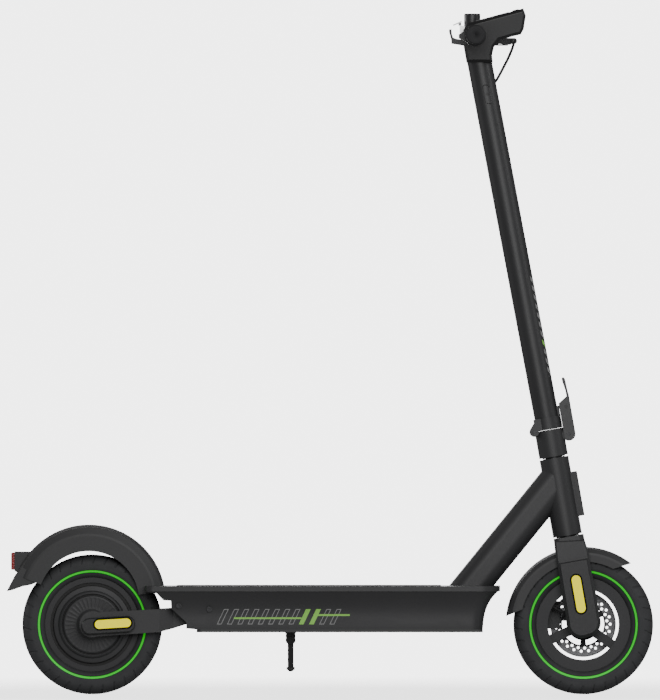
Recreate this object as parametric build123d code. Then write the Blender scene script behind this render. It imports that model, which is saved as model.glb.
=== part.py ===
from build123d import *
import math
import os

# Electric kick scooter, in millimetres. +X forward, +Y to the rider's left, +Z up.
# The origin is on the ground, midway along the scooter.

# ---- driving dimensions
LENGTH = 1179.4            # rear fender tip to front of front tyre
WHEEL_R = 127.5            # 10-inch tyre
WHEELBASE = 896.0
HEAD_ANGLE = 10.0          # steering axis, back from vertical
STEM_EXTRA_LEAN = 0.69     # stem leans this much more than the steering axis
DECK_TOP = 198.0
DECK_BOTTOM = 113.9
HANDLEBAR_U = 730.6        # handlebar axis, along the stem from the fold plane
BAR_HALF = 255.0           # half of the handlebar's width over the grips

# ---- clearances
RUN = 0.05                 # radial, shafts and pins
GAP = 0.5                  # between pieces that move past each other

FRONT_X = LENGTH / 2 - WHEEL_R
REAR_X = FRONT_X - WHEELBASE

# ---- wheels
TYRE_HALF = 31.0
BEAD_R = 80.0
RIM_FLANGE_R = 86.0
RIM_HALF = 17.0
FLANGE_T = 3.0
TREAD_T = 7.0
AXLE_R = 6.0
BEARING_R = 14.0
BEARING_W = 8.0

# front wheel
RIM_IN_R = 65.0
FRONT_HUB_R = 23.0
FRONT_HUB_HALF = 26.0
SPOKE_W = 17.0
SPOKE_HALF = 9.0
SPOKE_ANGLES = (-35.0, 85.0, 205.0)
ROTOR_R = 60.0
ROTOR_IN_R = 20.0
ROTOR_T = 2.0
ROTOR_Y = 33.0             # inner face of the brake disc
ROTOR_ROWS = ((49.5, 0.0), (43.8, 0.5))     # radius, and phase in pitches
ROTOR_HOLES = 23
ROTOR_HOLE_R = 2.5
ROTOR_WINDOWS = 6
ROTOR_WINDOW = (29.5, 38.5)

# rear hub motor
SHELL_IN_R = 71.0
GROOVE_R = 76.5            # a groove between the motor's covers and the tyre
GROOVE_DEPTH = 3.5
COVER_FACE_Y = 26.0
COVER_RIM_Y = 20.0
COVER_IN_Y = 13.0
STATOR_R = 64.0
STATOR_HALF = 11.0

# ---- rear arm
ARM_Y = (42.0, 52.0)       # beside the wheel
ARM_IN_Y = (36.0, 46.0)    # between the deck's side plates
ARM_END_R = 23.0
ARM_HALF = 21.0            # half of the arm's height
PIVOT_EYE_R = 14.0
ARM_BEND_X = (-311.0, -286.0)
PIVOT = (-219.5, 155.9)
PIVOT_BOLT_R = 5.0
PIVOT_TUBE_R = 12.0
SHOCK_BOLT = (-275.6, 162.2)
BOLT_HEAD_R = 5.0
BOLT_HEAD_T = 3.0
HEX_AF = 5.0
SPRING_X = -258.0
SPRING_R = 11.0
SPRING_WIRE = 3.0
SPRING_SEAT_Z = 143.0
SPRING_SEAT_T = 8.0
COVER_T = 10.5             # the axle covers, over the nuts
REFLECTOR_T = 2.0
REAR_COVER = (-403.8, 126.8, 98.0, 30.0)       # centre X, Z, length, height
REAR_REFLECTOR = (-395.7, 129.6, 66.0, 16.0)
REAR_ARM_TILT = 3.5

# ---- deck
LIP_T = 9.5
LIP_HALF = 86.0
DECK_HALF = 70.0
DECK_FRONT = 310.0
DECK_FRONT_LOW = 278.5
LIP_REAR = -336.9
LIP_CORNER_R = 38.0
ARM_LIP_CORNER_R = 14.0
COVER_PLATE_T = 5.0
SIDE_PLATE_END = -243.0
DECK_LEVELS = (            # half width, front end, corner radius, height
    (DECK_HALF, DECK_FRONT_LOW, 22.0, DECK_BOTTOM + COVER_PLATE_T),
    (DECK_HALF + 0.8, 281.2, 23.0, 142.7),
    (DECK_HALF + 3.6, 287.5, 26.0, 163.0),
    (DECK_HALF + 8.5, 296.0, 31.0, 177.0),
    (LIP_HALF - 2.0, DECK_FRONT - 3.0, 36.0, DECK_TOP - LIP_T),
)
DECK_REAR_CUT = (          # side view: what the rear end keeps of the tray
    (LIP_REAR - 1, 188.5), (-315.7, 185.0), (-303.5, 172.1), (-290.0, 171.4), (-289.0, 157.0),
    (-261.9, 132.1), (-261.9, 121.0), (SIDE_PLATE_END, 118.9), (DECK_FRONT + 1, 118.9),
    (DECK_FRONT + 1, 188.5),
)
TRAY = (-182.0, 236.0)     # battery tray, along X
TRAY_HALF = 60.0
TOP_PLATE_T = 9.0
POCKET_FRONT = -196.0      # pocket for the rear arm
POCKET_HALF = 52.0
MAT = (-280.0, 203.0)
MAT_HALF = 72.0
MAT_T = 2.5
MAT_RECESS = 1.5
SCREW_HEAD_R = 4.0
SCREW_HEAD_T = 2.5
SCREW_R = 2.0
SCREW_L = 14.0
SCREW_Y = 65.0
SCREW_COUNT = 6
BATTERY = (290.0, 108.0, 58.0)
BATTERY_X = -30.0
CONTROLLER = (92.0, 76.0, 34.0)
CONTROLLER_X = 180.0

# ---- rear fender, an arc about its own centre above and behind the axle
FENDER_X = -440.0
FENDER_Z = 169.2
FENDER_R = 140.3
FENDER_CREASE_R = 120.0
FENDER_SKIRT_R = 92.2
FENDER_HALF = 41.0
FENDER_CROWN_HALF = 24.0
FENDER_T = 3.0
FENDER_ARC = (8.0, 160.0)
TAIL = ((-537.0, 203.3), (-546.0, 200.0), (-561.5, 196.9), (-578.9, 190.5),
        (-589.7, 188.2), (-573.8, 219.0), (-560.0, 232.0), (-532.0, 214.0))
TAIL_LIGHT_HALF = 22.0
TAIL_LIGHT = ((-540.0, 254.0), (-546.4, 260.4), (-575.4, 260.4), (-575.4, 225.5),
              (-566.0, 219.0), (-545.0, 238.0))
TAIL_LENS = (-581.8, 227.2, -575.4, 258.6)

# ---- front fender
GUARD_R = 141.5
GUARD_SKIRT_R = 115.0
GUARD_HALF = 38.0
GUARD_CROWN_HALF = 23.0
GUARD_T = 2.5
GUARD_ARC = (52.0, 174.0)
GUARD_END_CUTS = (         # side view, about the axle: slanted ends with the tip outermost
    ((23.5, 92.4), (115.9, 120.3), (220.0, 60.0), (60.0, 60.0)),
    ((-172.6, 2.1), (-74.5, 43.2), (-74.5, -40.0), (-172.6, -40.0)),
)

# ---- down tube
DOWN_ANGLE = 39.0          # from vertical
DOWN_DEPTH = 64.0
DOWN_WIDTH = 52.0
DOWN_CORNER_R = 24.0
DOWN_WALL = 5.0
DOWN_TOP_S = 269.0         # where its centre line meets the steering axis

# ---- steering column, measured up the steering axis from the front axle
CROWN_TOP = 162.5
CROWN_BOTTOM = 134.0
HEAD_TUBE = (165.0, 308.0)
HEAD_TUBE_R = 26.7
HEAD_BORE_R = 22.0
STEERER_R = 15.0
STEERER_BOTTOM = 150.0
HEADSET_H = 12.0
FOLD_BASE = (311.0, 360.5)
FOLD_BASE_R = 26.5
BASE_NECK_R = 21.0
FOLD_PLANE = 360.5
COLLAR_TOP = 383.0
COLLAR_R = 25.2
HINGE = (-27.3, 360.7)
HINGE_EAR_R = 8.5
HINGE_PIN_R = 4.0
HINGE_KNUCKLE = 12.0       # half width of the middle knuckle
HINGE_HALF = 23.0
BASE_WEB = ((-27.3, 352.3), (-18.0, 345.0), (-18.0, 360.5), (-27.3, 360.5))
COLLAR_WEB = ((-35.8, 361.5), (-33.5, 367.0), (-25.3, 376.8), (-23.2, 383.0), (-12.0, 383.0),
              (-12.0, 361.5))
LATCH_PIVOT = (34.3, 346.7)
LATCH_END_R = 12.2
LATCH_LUG_HALF = 9.0
LATCH_CHEEK_T = 4.0
LATCH_PIN_R = 3.5
LATCH_UPPER = (38.1, 397.2)
LATCH_FRONT = 46.7
LATCH_BACK = 25.7
LATCH_WEB_T = 4.5
LATCH_BLADE = ((42.2, 405.0), (46.7, 405.0), (46.7, 418.0), (45.9, 424.0), (44.9, 446.0),
               (43.8, 449.5), (41.8, 450.8), (39.8, 450.0), (38.8, 447.5), (39.2, 444.0),
               (42.0, 426.0))
CATCH = (395.0, 401.0)
CATCH_T = 27.5
CATCH_HALF = 8.0
BADGE = (196.0, 278.0, 37.0)               # low s, high s, front t
BADGE_EDGE_R = 1.5
BADGE_HALF = 11.0

# ---- fork
LEG_Y = (44.0, 56.0)
LEG_REAR = ((-29.0, 38.0), (-28.3, 96.0), (-28.0, 127.0), (-25.9, 160.0))
LEG_FRONT = ((28.7, 153.0), (31.5, 132.0), (31.1, 93.0), (32.0, 54.0), (31.6, 8.0))
LEG_END = ((25.0, -14.5), (5.0, -23.0), (-22.9, -14.9), (-29.5, 7.5))
FORK_COVER_TOP = 118.0
FORK_COVER_INSET = 3.5
FRONT_REFLECTOR = (0.7, 56.8, 69.0, 16.6)
NUT_R = 9.5
NUT_T = 7.0
NUT_ROOM = 2.5
COVER_CHAMFER = 2.0

# ---- brake caliper, about the front axle
CALIPER_X = (-72.0, -42.0)
CALIPER_Z = (-8.0, 42.0)
CALIPER_OUT_R = 78.0
CALIPER_Y = (24.5, 43.0)
CALIPER_SLOT_Y = (29.0, 39.0)
CALIPER_TAB = (-46.0, -18.0, 6.0, 30.0)
PAD_GAP = 0.4
PAD_X = (-60.0, -44.0)
PAD_Z = (2.0, 32.0)

# ---- stem and cockpit, u along the stem from the fold plane
STEM_R = 22.5
STEM_WALL = 2.5
STEM_TOP_U = 716.0
STEM_BOTTOM_U = 12.0
BAR_R = 12.5
GRIP_R = 17.5
GRIP_L = 118.0
GRIP_FLANGE_R = 19.5
GRIP_FLANGE_T = 4.0
DASH_HALF = 31.0
DASH_REAR = (251.5, 1224.2)
DASH_FRONT = (352.6, 1251.4)
DASH_NOSE = ((357.3, 1238.1), (353.3, 1213.3), (348.4, 1204.3), (333.6, 1200.9),
             (308.8, 1193.6), (299.3, 1181.2), (295.6, 1166.0), (297.0, 1153.0))
DASH_BACK = ((249.2, 1153.0), (243.5, 1185.0), (243.0, 1212.0))
DISPLAY = (62.0, 46.0, 2.0)
DISPLAY_ALONG = 46.0
DISPLAY_SINK = 1.2
BUTTON_ALONG = 90.0
BUTTON_R = 6.0
BUTTON_T = 5.0
BUTTON_PROUD = 1.6
LENS_T = 3.0
LENS_HALF = 24.0
LENS_Z = (1216.0, 1236.0)
HOOK = ((217.2, 1213.0), (221.7, 1213.8), (222.5, 1205.0), (224.5, 1198.5), (229.4, 1196.3),
        (256.0, 1192.0), (256.0, 1181.5), (221.7, 1187.2), (221.0, 1195.0), (217.2, 1209.0))
HOOK_HALF = 9.0
THROTTLE_Y = (-132.0, -120.5)
THROTTLE_R = 19.5
THROTTLE_TIP = (-30.0, -2.0)
CLAMP_Y = (-120.0, -106.0)
PERCH_Y = (98.0, 114.0)
PERCH_R = 18.0
LEVER_PIVOT = (318.0, 108.0)
LEVER_Z = (1188.0, 1199.0)
LEVER_PIN_R = 3.0
LEVER_END_R = 8.5
LEVER_END_Y = 222.0
ADJUSTER = (336.7, 1193.5)
ADJUSTER_R = 5.5
ADJUSTER_Y = (84.0, 99.0)
CABLE_R = 2.5
CABLE_ROUTE = ((336.7, 84.0, 1193.5), (336.7, 60.0, 1193.5), (334.0, 34.0, 1181.0),
               (325.0, 16.0, 1160.0), (314.0, 5.0, 1139.0), (304.5, 1.0, 1121.0),
               (292.0, 0.0, 1107.0))
BELL_X = 259.8
BELL_Y = 76.0
BELL_R = 15.0
BELL_Z = (1214.0, 1243.4)
BELL_CLAMP_HALF = 6.0
BELL_CLAMP_R = 15.5
BELL_LEVER_Z = 1222.0
BELL_LEVER_T = 2.2

# ---- kickstand
STAND_X = -72.0
STAND_Y = 72.0
STAND_Z = 102.0
STAND_LEAN = 38.0
STAND_LEG_R = 5.4
STAND_FOOT_Z = 43.0
STAND_FOOT = (15.0, 20.0, 5.0)
STAND_PIN_R = 4.0
STAND_EAR_R = 9.0
STAND_HALF = 10.0
STAND_SEAT_HALF = 7.5
STAND_EAR_T = 4.0
STAND_PLATE_T = 3.6

# ---- charging socket
CHARGE = (236.0, 152.0)
CHARGE_BORE_R = 8.0
CHARGE_RING_R = 12.0
CHARGE_FACE_Y = 79.0
CHARGE_CAP_T = 3.0


# ---- frames of reference and helpers
AXLE_FRONT = Pos(FRONT_X, 0, WHEEL_R)
AXLE_REAR = Pos(REAR_X, 0, WHEEL_R)
STEER = AXLE_FRONT * Rot(0, -HEAD_ANGLE, 0)
STEM = STEER * Pos(0, 0, FOLD_PLANE) * Rot(0, -STEM_EXTRA_LEAN, 0)
STEM_LEAN = math.radians(HEAD_ANGLE + STEM_EXTRA_LEAN)
FOLD_X = FRONT_X - FOLD_PLANE * math.sin(math.radians(HEAD_ANGLE))
FOLD_Z = WHEEL_R + FOLD_PLANE * math.cos(math.radians(HEAD_ANGLE))
BAR_X = FOLD_X - HANDLEBAR_U * math.sin(STEM_LEAN)
BAR_Z = FOLD_Z + HANDLEBAR_U * math.cos(STEM_LEAN)
BAR = Pos(BAR_X, 0, BAR_Z)


def slab(outline, y_low, y_high):
    """A flat sketch drawn in X and Z, thickened from y_low to y_high."""
    return extrude(Plane.XZ.offset(-y_high) * outline, amount=y_high - y_low)


def polygon(points):
    return make_face(Polyline(*points, close=True))


def block(x_range, y_range, z_range):
    """A box between pairs of limits."""
    size = [high - low for low, high in (x_range, y_range, z_range)]
    middle = [(high + low) / 2 for low, high in (x_range, y_range, z_range)]
    return Pos(*middle) * Box(*size)


def rod(radius, y_low, y_high, x=0.0, z=0.0):
    """A cylinder along Y."""
    return Pos(x, (y_low + y_high) / 2, z) * Rot(90, 0, 0) * Cylinder(radius, y_high - y_low)


def post(radius, s_low, s_high):
    """A cylinder along Z."""
    return Pos(0, 0, (s_low + s_high) / 2) * Cylinder(radius, s_high - s_low)


def tube(outer, inner, s_low, s_high):
    return post(outer, s_low, s_high) - post(inner, s_low, s_high)


def turned(points):
    """A closed (radius, y) outline turned about the Y axis."""
    return revolve(polygon(points), Axis.Y)


def swept_guard(points, arc):
    """A (radius, y) outline swept about Y between two angles, from +X towards +Z."""
    start = Rot(0, -arc[0], 0) * polygon(points)
    return revolve(start, Axis((0, 0, 0), (0, -1, 0)), arc[1] - arc[0])


def capsule(length, width, angle, y_low, y_high):
    """A flat round-ended bar in X and Z, turned by angle."""
    return slab(Rot(0, 0, angle) * SlotOverall(length, width), y_low, y_high)


def mirrored(shape):
    return mirror(shape, about=Plane.XZ)


def group(*shapes):
    """Several separate solids as one compound."""
    return Compound([solid for shape in shapes for solid in shape.solids()])


def pair(shape):
    return group(shape, mirrored(shape))


def save(name, shape):
    export_step(shape, f"parts/{name}.step")


os.makedirs("parts", exist_ok=True)


# ---- wheels
def tyre():
    """A hollow tyre, open towards the rim, with a crowned tread and three grooves."""
    shoulder_r = WHEEL_R - TREAD_T
    with BuildSketch() as outer:
        with BuildLine():
            Polyline((shoulder_r, -TYRE_HALF + 3), (112, -TYRE_HALF), (96, -TYRE_HALF + 1),
                     (RIM_FLANGE_R, -RIM_HALF - FLANGE_T), (RIM_FLANGE_R, -RIM_HALF),
                     (BEAD_R, -RIM_HALF), (BEAD_R, RIM_HALF), (RIM_FLANGE_R, RIM_HALF),
                     (RIM_FLANGE_R, RIM_HALF + FLANGE_T), (96, TYRE_HALF - 1),
                     (112, TYRE_HALF), (shoulder_r, TYRE_HALF - 3))
            ThreePointArc((shoulder_r, TYRE_HALF - 3), (WHEEL_R, 0), (shoulder_r, -TYRE_HALF + 3))
        make_face()
    solid = revolve(outer.sketch, Axis.Y)
    inside = turned(((BEAD_R, -9), (92, -14), (97, -23), (112, -25), (shoulder_r - 2, -15),
                     (shoulder_r - 1, 0), (shoulder_r - 2, 15), (112, 25), (97, 23), (92, 14),
                     (BEAD_R, 9)))
    for y in (-14, 0, 14):
        depth_r = WHEEL_R - 2.5
        solid -= turned(((depth_r - abs(y) * 0.1, y - 1.2), (WHEEL_R + 1, y - 1.2),
                         (WHEEL_R + 1, y + 1.2), (depth_r - abs(y) * 0.1, y + 1.2)))
    return solid - inside


def rim_barrel(inner_r):
    """The band that the tyre's beads sit on, with a flange at each side."""
    barrel = turned(((inner_r, -RIM_HALF - FLANGE_T), (RIM_FLANGE_R, -RIM_HALF - FLANGE_T),
                     (RIM_FLANGE_R, -RIM_HALF), (BEAD_R, -RIM_HALF), (BEAD_R, RIM_HALF),
                     (RIM_FLANGE_R, RIM_HALF), (RIM_FLANGE_R, RIM_HALF + FLANGE_T),
                     (inner_r, RIM_HALF + FLANGE_T)))
    return barrel


def bearings(y_in):
    ring = turned(((AXLE_R + RUN, y_in), (BEARING_R, y_in), (BEARING_R, y_in + BEARING_W),
                   (AXLE_R + RUN, y_in + BEARING_W)))
    return pair(ring)


def axle(y_seat, y_shoulder):
    """A wheel axle: a through shaft with a shoulder spacer between each hub and its dropout."""
    shaft = rod(AXLE_R, -y_seat - NUT_T - 2, y_seat + NUT_T + 2)
    shoulder = rod(AXLE_R + 3, y_shoulder, LEG_Y[0] if y_seat == LEG_Y[1] else ARM_Y[0])
    return shaft + shoulder + mirrored(shoulder)


def axle_nuts(y_seat):
    nut = slab(RegularPolygon(NUT_R, 6), y_seat, y_seat + NUT_T)
    return pair(nut - rod(AXLE_R, y_seat, y_seat + NUT_T))


def front_rim():
    """Cast rim: three spokes between the hub and the band, and a flange for the brake disc."""
    rim = rim_barrel(RIM_IN_R)
    reach = BEAD_R - 8
    for angle in SPOKE_ANGLES:
        rim += Rot(0, -angle, 0) * block((0, reach), (-SPOKE_HALF, SPOKE_HALF),
                                         (-SPOKE_W / 2, SPOKE_W / 2))
    rim += rod(FRONT_HUB_R, -FRONT_HUB_HALF, ROTOR_Y)
    rim -= rod(AXLE_R + 1, -FRONT_HUB_HALF, ROTOR_Y)
    seat = rod(BEARING_R, FRONT_HUB_HALF - BEARING_W, ROTOR_Y)
    return rim - seat - mirrored(seat)


def brake_rotor():
    disc = rod(ROTOR_R, ROTOR_Y, ROTOR_Y + ROTOR_T) - rod(ROTOR_IN_R, ROTOR_Y, ROTOR_Y + ROTOR_T)
    pitch = 360 / ROTOR_HOLES
    for radius, phase in ROTOR_ROWS[:2]:
        for index in range(ROTOR_HOLES):
            turn = Rot(0, -(index + phase) * pitch, 0)
            disc -= turn * rod(ROTOR_HOLE_R, ROTOR_Y, ROTOR_Y + ROTOR_T, x=radius)
    low, high = ROTOR_WINDOW
    for index in range(ROTOR_WINDOWS):
        half_turn = 360 / ROTOR_WINDOWS * 0.36
        ring = swept_guard(((low, ROTOR_Y), (high, ROTOR_Y), (high, ROTOR_Y + ROTOR_T),
                            (low, ROTOR_Y + ROTOR_T)), (-half_turn, half_turn))
        disc -= Rot(0, -index * 360 / ROTOR_WINDOWS, 0) * ring
    return disc


def motor_cover():
    """Stepped side cover of the hub motor, with the bearing seat in its middle."""
    cover = turned(((AXLE_R + 1, COVER_IN_Y + 4), (40, COVER_IN_Y), (SHELL_IN_R, COVER_IN_Y),
                    (SHELL_IN_R, COVER_RIM_Y), (66, COVER_RIM_Y + 1), (60, COVER_RIM_Y + 4),
                    (56, COVER_FACE_Y - 1), (55, COVER_FACE_Y - 3), (53, COVER_FACE_Y - 3),
                    (52, COVER_FACE_Y - 1), (28, COVER_FACE_Y), (24, COVER_FACE_Y + 3),
                    (AXLE_R + 4, COVER_FACE_Y + 3), (AXLE_R + 4, COVER_IN_Y + 12),
                    (AXLE_R + 1, COVER_IN_Y + 12)))
    return cover - rod(BEARING_R, COVER_IN_Y + 4, COVER_IN_Y + 4 + BEARING_W)


def motor_stator():
    """Laminated core with its teeth, fixed on the axle."""
    core = rod(STATOR_R, -STATOR_HALF, STATOR_HALF)
    for index in range(18):
        slot = block((STATOR_R - 16, STATOR_R + 1), (-STATOR_HALF, STATOR_HALF), (-2, 2))
        core -= Rot(0, index * 20, 0) * slot
    return core - rod(AXLE_R, -STATOR_HALF, STATOR_HALF)


save("front_tyre", AXLE_FRONT * tyre())
save("front_rim", AXLE_FRONT * front_rim())
save("brake_rotor", AXLE_FRONT * brake_rotor())
save("front_bearings", AXLE_FRONT * bearings(FRONT_HUB_HALF - BEARING_W))
save("front_axle", AXLE_FRONT * axle(LEG_Y[1], FRONT_HUB_HALF + GAP))
save("front_axle_nuts", AXLE_FRONT * axle_nuts(LEG_Y[1]))

save("rear_tyre", AXLE_REAR * tyre())
groove_low = RIM_HALF + FLANGE_T - GROOVE_DEPTH
groove = rod(GROOVE_R, groove_low, TYRE_HALF) - rod(SHELL_IN_R, groove_low, TYRE_HALF)
save("motor_shell", AXLE_REAR * (rim_barrel(SHELL_IN_R) - groove - mirrored(groove)))
save("motor_covers", AXLE_REAR * pair(motor_cover()))
save("rear_bearings", AXLE_REAR * bearings(COVER_IN_Y + 4))
save("motor_stator", AXLE_REAR * motor_stator())
save("rear_axle", AXLE_REAR * axle(ARM_Y[1], COVER_FACE_Y + 3 + GAP))
save("rear_axle_nuts", AXLE_REAR * axle_nuts(ARM_Y[1]))


# ---- rear arm
def swingarm():
    """Two arms joined by the pivot tube and by the spring's seat."""
    lift = math.tan(math.radians(REAR_ARM_TILT))
    bend_rear, bend_front = ARM_BEND_X
    z_rear = WHEEL_R + (bend_rear - REAR_X) * lift
    z_front = WHEEL_R + (bend_front - REAR_X) * lift
    outline = polygon(((REAR_X, WHEEL_R + ARM_END_R - 1), (bend_rear, z_rear + ARM_HALF),
                       (bend_front, z_front + ARM_HALF), (PIVOT[0], PIVOT[1] + PIVOT_EYE_R),
                       (PIVOT[0], PIVOT[1] - PIVOT_EYE_R), (bend_front, z_front - ARM_HALF + 5),
                       (bend_rear, z_rear - ARM_HALF), (REAR_X, WHEEL_R - ARM_END_R + 1)))
    side = slab(outline, ARM_IN_Y[0], ARM_Y[1])
    side += rod(ARM_END_R, ARM_Y[0], ARM_Y[1], REAR_X, WHEEL_R)
    side += rod(PIVOT_EYE_R, ARM_IN_Y[0], ARM_IN_Y[1], PIVOT[0], PIVOT[1])
    plan = extrude(polygon(((REAR_X - 30, ARM_Y[0]), (ARM_BEND_X[0], ARM_Y[0]),
                            (ARM_BEND_X[1], ARM_IN_Y[0]), (PIVOT[0] + 20, ARM_IN_Y[0]),
                            (PIVOT[0] + 20, ARM_IN_Y[1]), (ARM_BEND_X[1], ARM_IN_Y[1]),
                            (ARM_BEND_X[0], ARM_Y[1]), (REAR_X - 30, ARM_Y[1]))), amount=300)
    side = side & plan
    arms = side + mirrored(side)
    arms += rod(PIVOT_TUBE_R, -ARM_IN_Y[0] - 1, ARM_IN_Y[0] + 1, PIVOT[0], PIVOT[1])
    seat_x = (SPRING_X - SPRING_R - 4, SPRING_X + SPRING_R + 4)
    arms += block(seat_x, (-ARM_IN_Y[0] - 1, ARM_IN_Y[0] + 1),
                  (SPRING_SEAT_Z - SPRING_SEAT_T, SPRING_SEAT_Z))
    arms -= rod(PIVOT_BOLT_R + RUN, -POCKET_HALF, POCKET_HALF, PIVOT[0], PIVOT[1])
    return arms - rod(AXLE_R, -ARM_Y[1], ARM_Y[1], REAR_X, WHEEL_R)


def rear_cover(sizes, y_low, y_high):
    x, z, length, height = sizes
    return Pos(x, 0, z) * capsule(length, height, REAR_ARM_TILT, y_low, y_high)


save("swingarm", swingarm())
nut_room = rod(NUT_R + 1, ARM_Y[1], ARM_Y[1] + NUT_T + NUT_ROOM, REAR_X, WHEEL_R)
cover_y = ARM_Y[1] + COVER_T
arm_cover = rear_cover(REAR_COVER, ARM_Y[1], cover_y)
arm_cover = chamfer(arm_cover.faces().sort_by(Axis.Y)[-1].edges(), COVER_CHAMFER)
save("rear_arm_covers", pair(arm_cover - nut_room))
save("rear_reflectors", pair(rear_cover(REAR_REFLECTOR, cover_y, cover_y + REFLECTOR_T)))


# ---- deck
def deck_plan(half, front, corner_r, z):
    """Outline of the deck seen from above at one height, with rounded front corners."""
    plan = Pos((front + LIP_REAR) / 2, 0) * Rectangle(front - LIP_REAR, 2 * half)
    corners = plan.vertices().filter_by_position(Axis.X, front - 1, front + 1)
    return Pos(0, 0, z) * fillet(corners, corner_r)


def deck_frame():
    """Flared tray with a raised lip, hollow for the battery and, at the rear, for the arm."""
    cover_top = DECK_BOTTOM + COVER_PLATE_T
    lip_low = DECK_TOP - LIP_T
    body = loft([deck_plan(*level) for level in DECK_LEVELS])
    body &= slab(polygon(DECK_REAR_CUT), -LIP_HALF - 1, LIP_HALF + 1)
    lip = extrude(deck_plan(LIP_HALF, DECK_FRONT, LIP_CORNER_R, lip_low), amount=LIP_T)
    body += fillet(lip.edges().filter_by(Axis.Z).group_by(Axis.X)[0], ARM_LIP_CORNER_R)
    body -= block(TRAY, (-TRAY_HALF, TRAY_HALF), (cover_top, DECK_TOP - TOP_PLATE_T))
    body -= block((LIP_REAR, POCKET_FRONT), (-POCKET_HALF, POCKET_HALF), (0, lip_low))
    notch_front = FENDER_X + FENDER_R + 0.5
    body -= block((LIP_REAR - 1, notch_front), (-FENDER_HALF, FENDER_HALF), (0, DECK_TOP + 1))
    body -= block(MAT, (-MAT_HALF, MAT_HALF), (DECK_TOP - MAT_RECESS, DECK_TOP + 1))
    body -= rod(PIVOT_BOLT_R, -LIP_HALF, LIP_HALF, PIVOT[0], PIVOT[1])
    body -= rod(PIVOT_BOLT_R, -LIP_HALF, LIP_HALF, SHOCK_BOLT[0], SHOCK_BOLT[1])
    charge_hole = rod(CHARGE_RING_R, TRAY_HALF - 4, LIP_HALF, CHARGE[0], CHARGE[1])
    return body - charge_hole - screws()


def bottom_cover():
    plate = block((SIDE_PLATE_END, DECK_FRONT_LOW), (-DECK_HALF, DECK_HALF),
                  (DECK_BOTTOM, DECK_BOTTOM + COVER_PLATE_T))
    plate = fillet(plate.edges().filter_by(Axis.Z), 8)
    pocket = block((SIDE_PLATE_END - 1, POCKET_FRONT), (-POCKET_HALF, POCKET_HALF), (0, DECK_TOP))
    return plate - pocket - screws()


def screws():
    """Countersunk screws that hold the bottom cover, in two rows."""
    head = post(SCREW_HEAD_R, DECK_BOTTOM, DECK_BOTTOM + SCREW_HEAD_T)
    one = head + post(SCREW_R, DECK_BOTTOM, DECK_BOTTOM + SCREW_L)
    pitch = (TRAY[1] - TRAY[0] - 20) / (SCREW_COUNT - 1)
    placed = []
    for index in range(SCREW_COUNT):
        for side in (-1, 1):
            placed.append(Pos(TRAY[0] + 10 + index * pitch, side * SCREW_Y, 0) * one)
    return group(*placed)


def side_bolts():
    """Pivot bolt through the arm, and the shorter pair of bolts behind it."""
    y_wall = 73.5
    head = rod(BOLT_HEAD_R, y_wall, y_wall + BOLT_HEAD_T)
    head -= slab(RegularPolygon(HEX_AF / 2, 6), y_wall + 1, y_wall + BOLT_HEAD_T)
    through = rod(PIVOT_BOLT_R, -y_wall, y_wall) + head + mirrored(head)
    short = rod(PIVOT_BOLT_R, POCKET_HALF, y_wall) + head
    return group(Pos(PIVOT[0], 0, PIVOT[1]) * through,
                 Pos(SHOCK_BOLT[0], 0, SHOCK_BOLT[1]) * short,
                 Pos(SHOCK_BOLT[0], 0, SHOCK_BOLT[1]) * mirrored(short))


def suspension_spring():
    """Coil spring as a stack of turns, under the deck plate on the arm's seat."""
    top = DECK_TOP - LIP_T
    core = tube(SPRING_R, SPRING_R - SPRING_WIRE, SPRING_SEAT_Z, top)
    turns = 5
    pitch = (top - SPRING_SEAT_Z) / turns
    for index in range(turns):
        z_low = SPRING_SEAT_Z + (index + 0.35) * pitch
        core -= tube(SPRING_R + 1, SPRING_R - 1.2, z_low, z_low + 0.4 * pitch)
    return Pos(SPRING_X, 0, 0) * core


deck_floor = DECK_BOTTOM + COVER_PLATE_T
save("deck_frame", deck_frame())
mat = block(MAT, (-MAT_HALF, MAT_HALF), (DECK_TOP - MAT_RECESS, DECK_TOP - MAT_RECESS + MAT_T))
save("deck_mat", fillet(mat.edges().filter_by(Axis.Z), 0.4))
save("bottom_cover", bottom_cover())
save("frame_screws", screws())
save("battery_pack", Pos(BATTERY_X, 0, deck_floor + BATTERY[2] / 2) * Box(*BATTERY))
save("motor_controller", Pos(CONTROLLER_X, 0, deck_floor + CONTROLLER[2] / 2) * Box(*CONTROLLER))
save("side_bolts", side_bolts())
save("suspension_spring", suspension_spring())


# ---- charging socket and its hinged cap
socket = rod(CHARGE_RING_R, TRAY_HALF - 4, CHARGE_FACE_Y) - rod(CHARGE_BORE_R, TRAY_HALF, CHARGE_FACE_Y)
save("charge_socket", Pos(CHARGE[0], 0, CHARGE[1]) * socket)
cap = rod(CHARGE_RING_R, CHARGE_FACE_Y + GAP, CHARGE_FACE_Y + GAP + CHARGE_CAP_T)
cap += rod(CHARGE_BORE_R - 3 * GAP, CHARGE_FACE_Y - 4, CHARGE_FACE_Y + GAP)
save("charge_cap", Pos(CHARGE[0], 0, CHARGE[1]) * cap)


# ---- fenders
def guard_section(outer_r, skirt_r, crease_r, half, crown_half, wall):
    """U-shaped section of a mudguard: crown, rounded shoulders and straight skirts."""
    shoulder = ((outer_r, crown_half), (outer_r - 0.25 * (outer_r - crease_r), half - 5),
                (crease_r + 4, half - 0.6), (crease_r, half), (skirt_r, half))
    inner = ((outer_r - wall, crown_half - 1), (outer_r - wall - 0.25 * (outer_r - crease_r), half - 5 - wall),
             (crease_r + 3, half - 0.6 - wall), (crease_r, half - wall), (skirt_r, half - wall))
    left = list(shoulder) + list(reversed(inner))
    right = [(r, -y) for r, y in reversed(left)]
    return left + right


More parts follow.
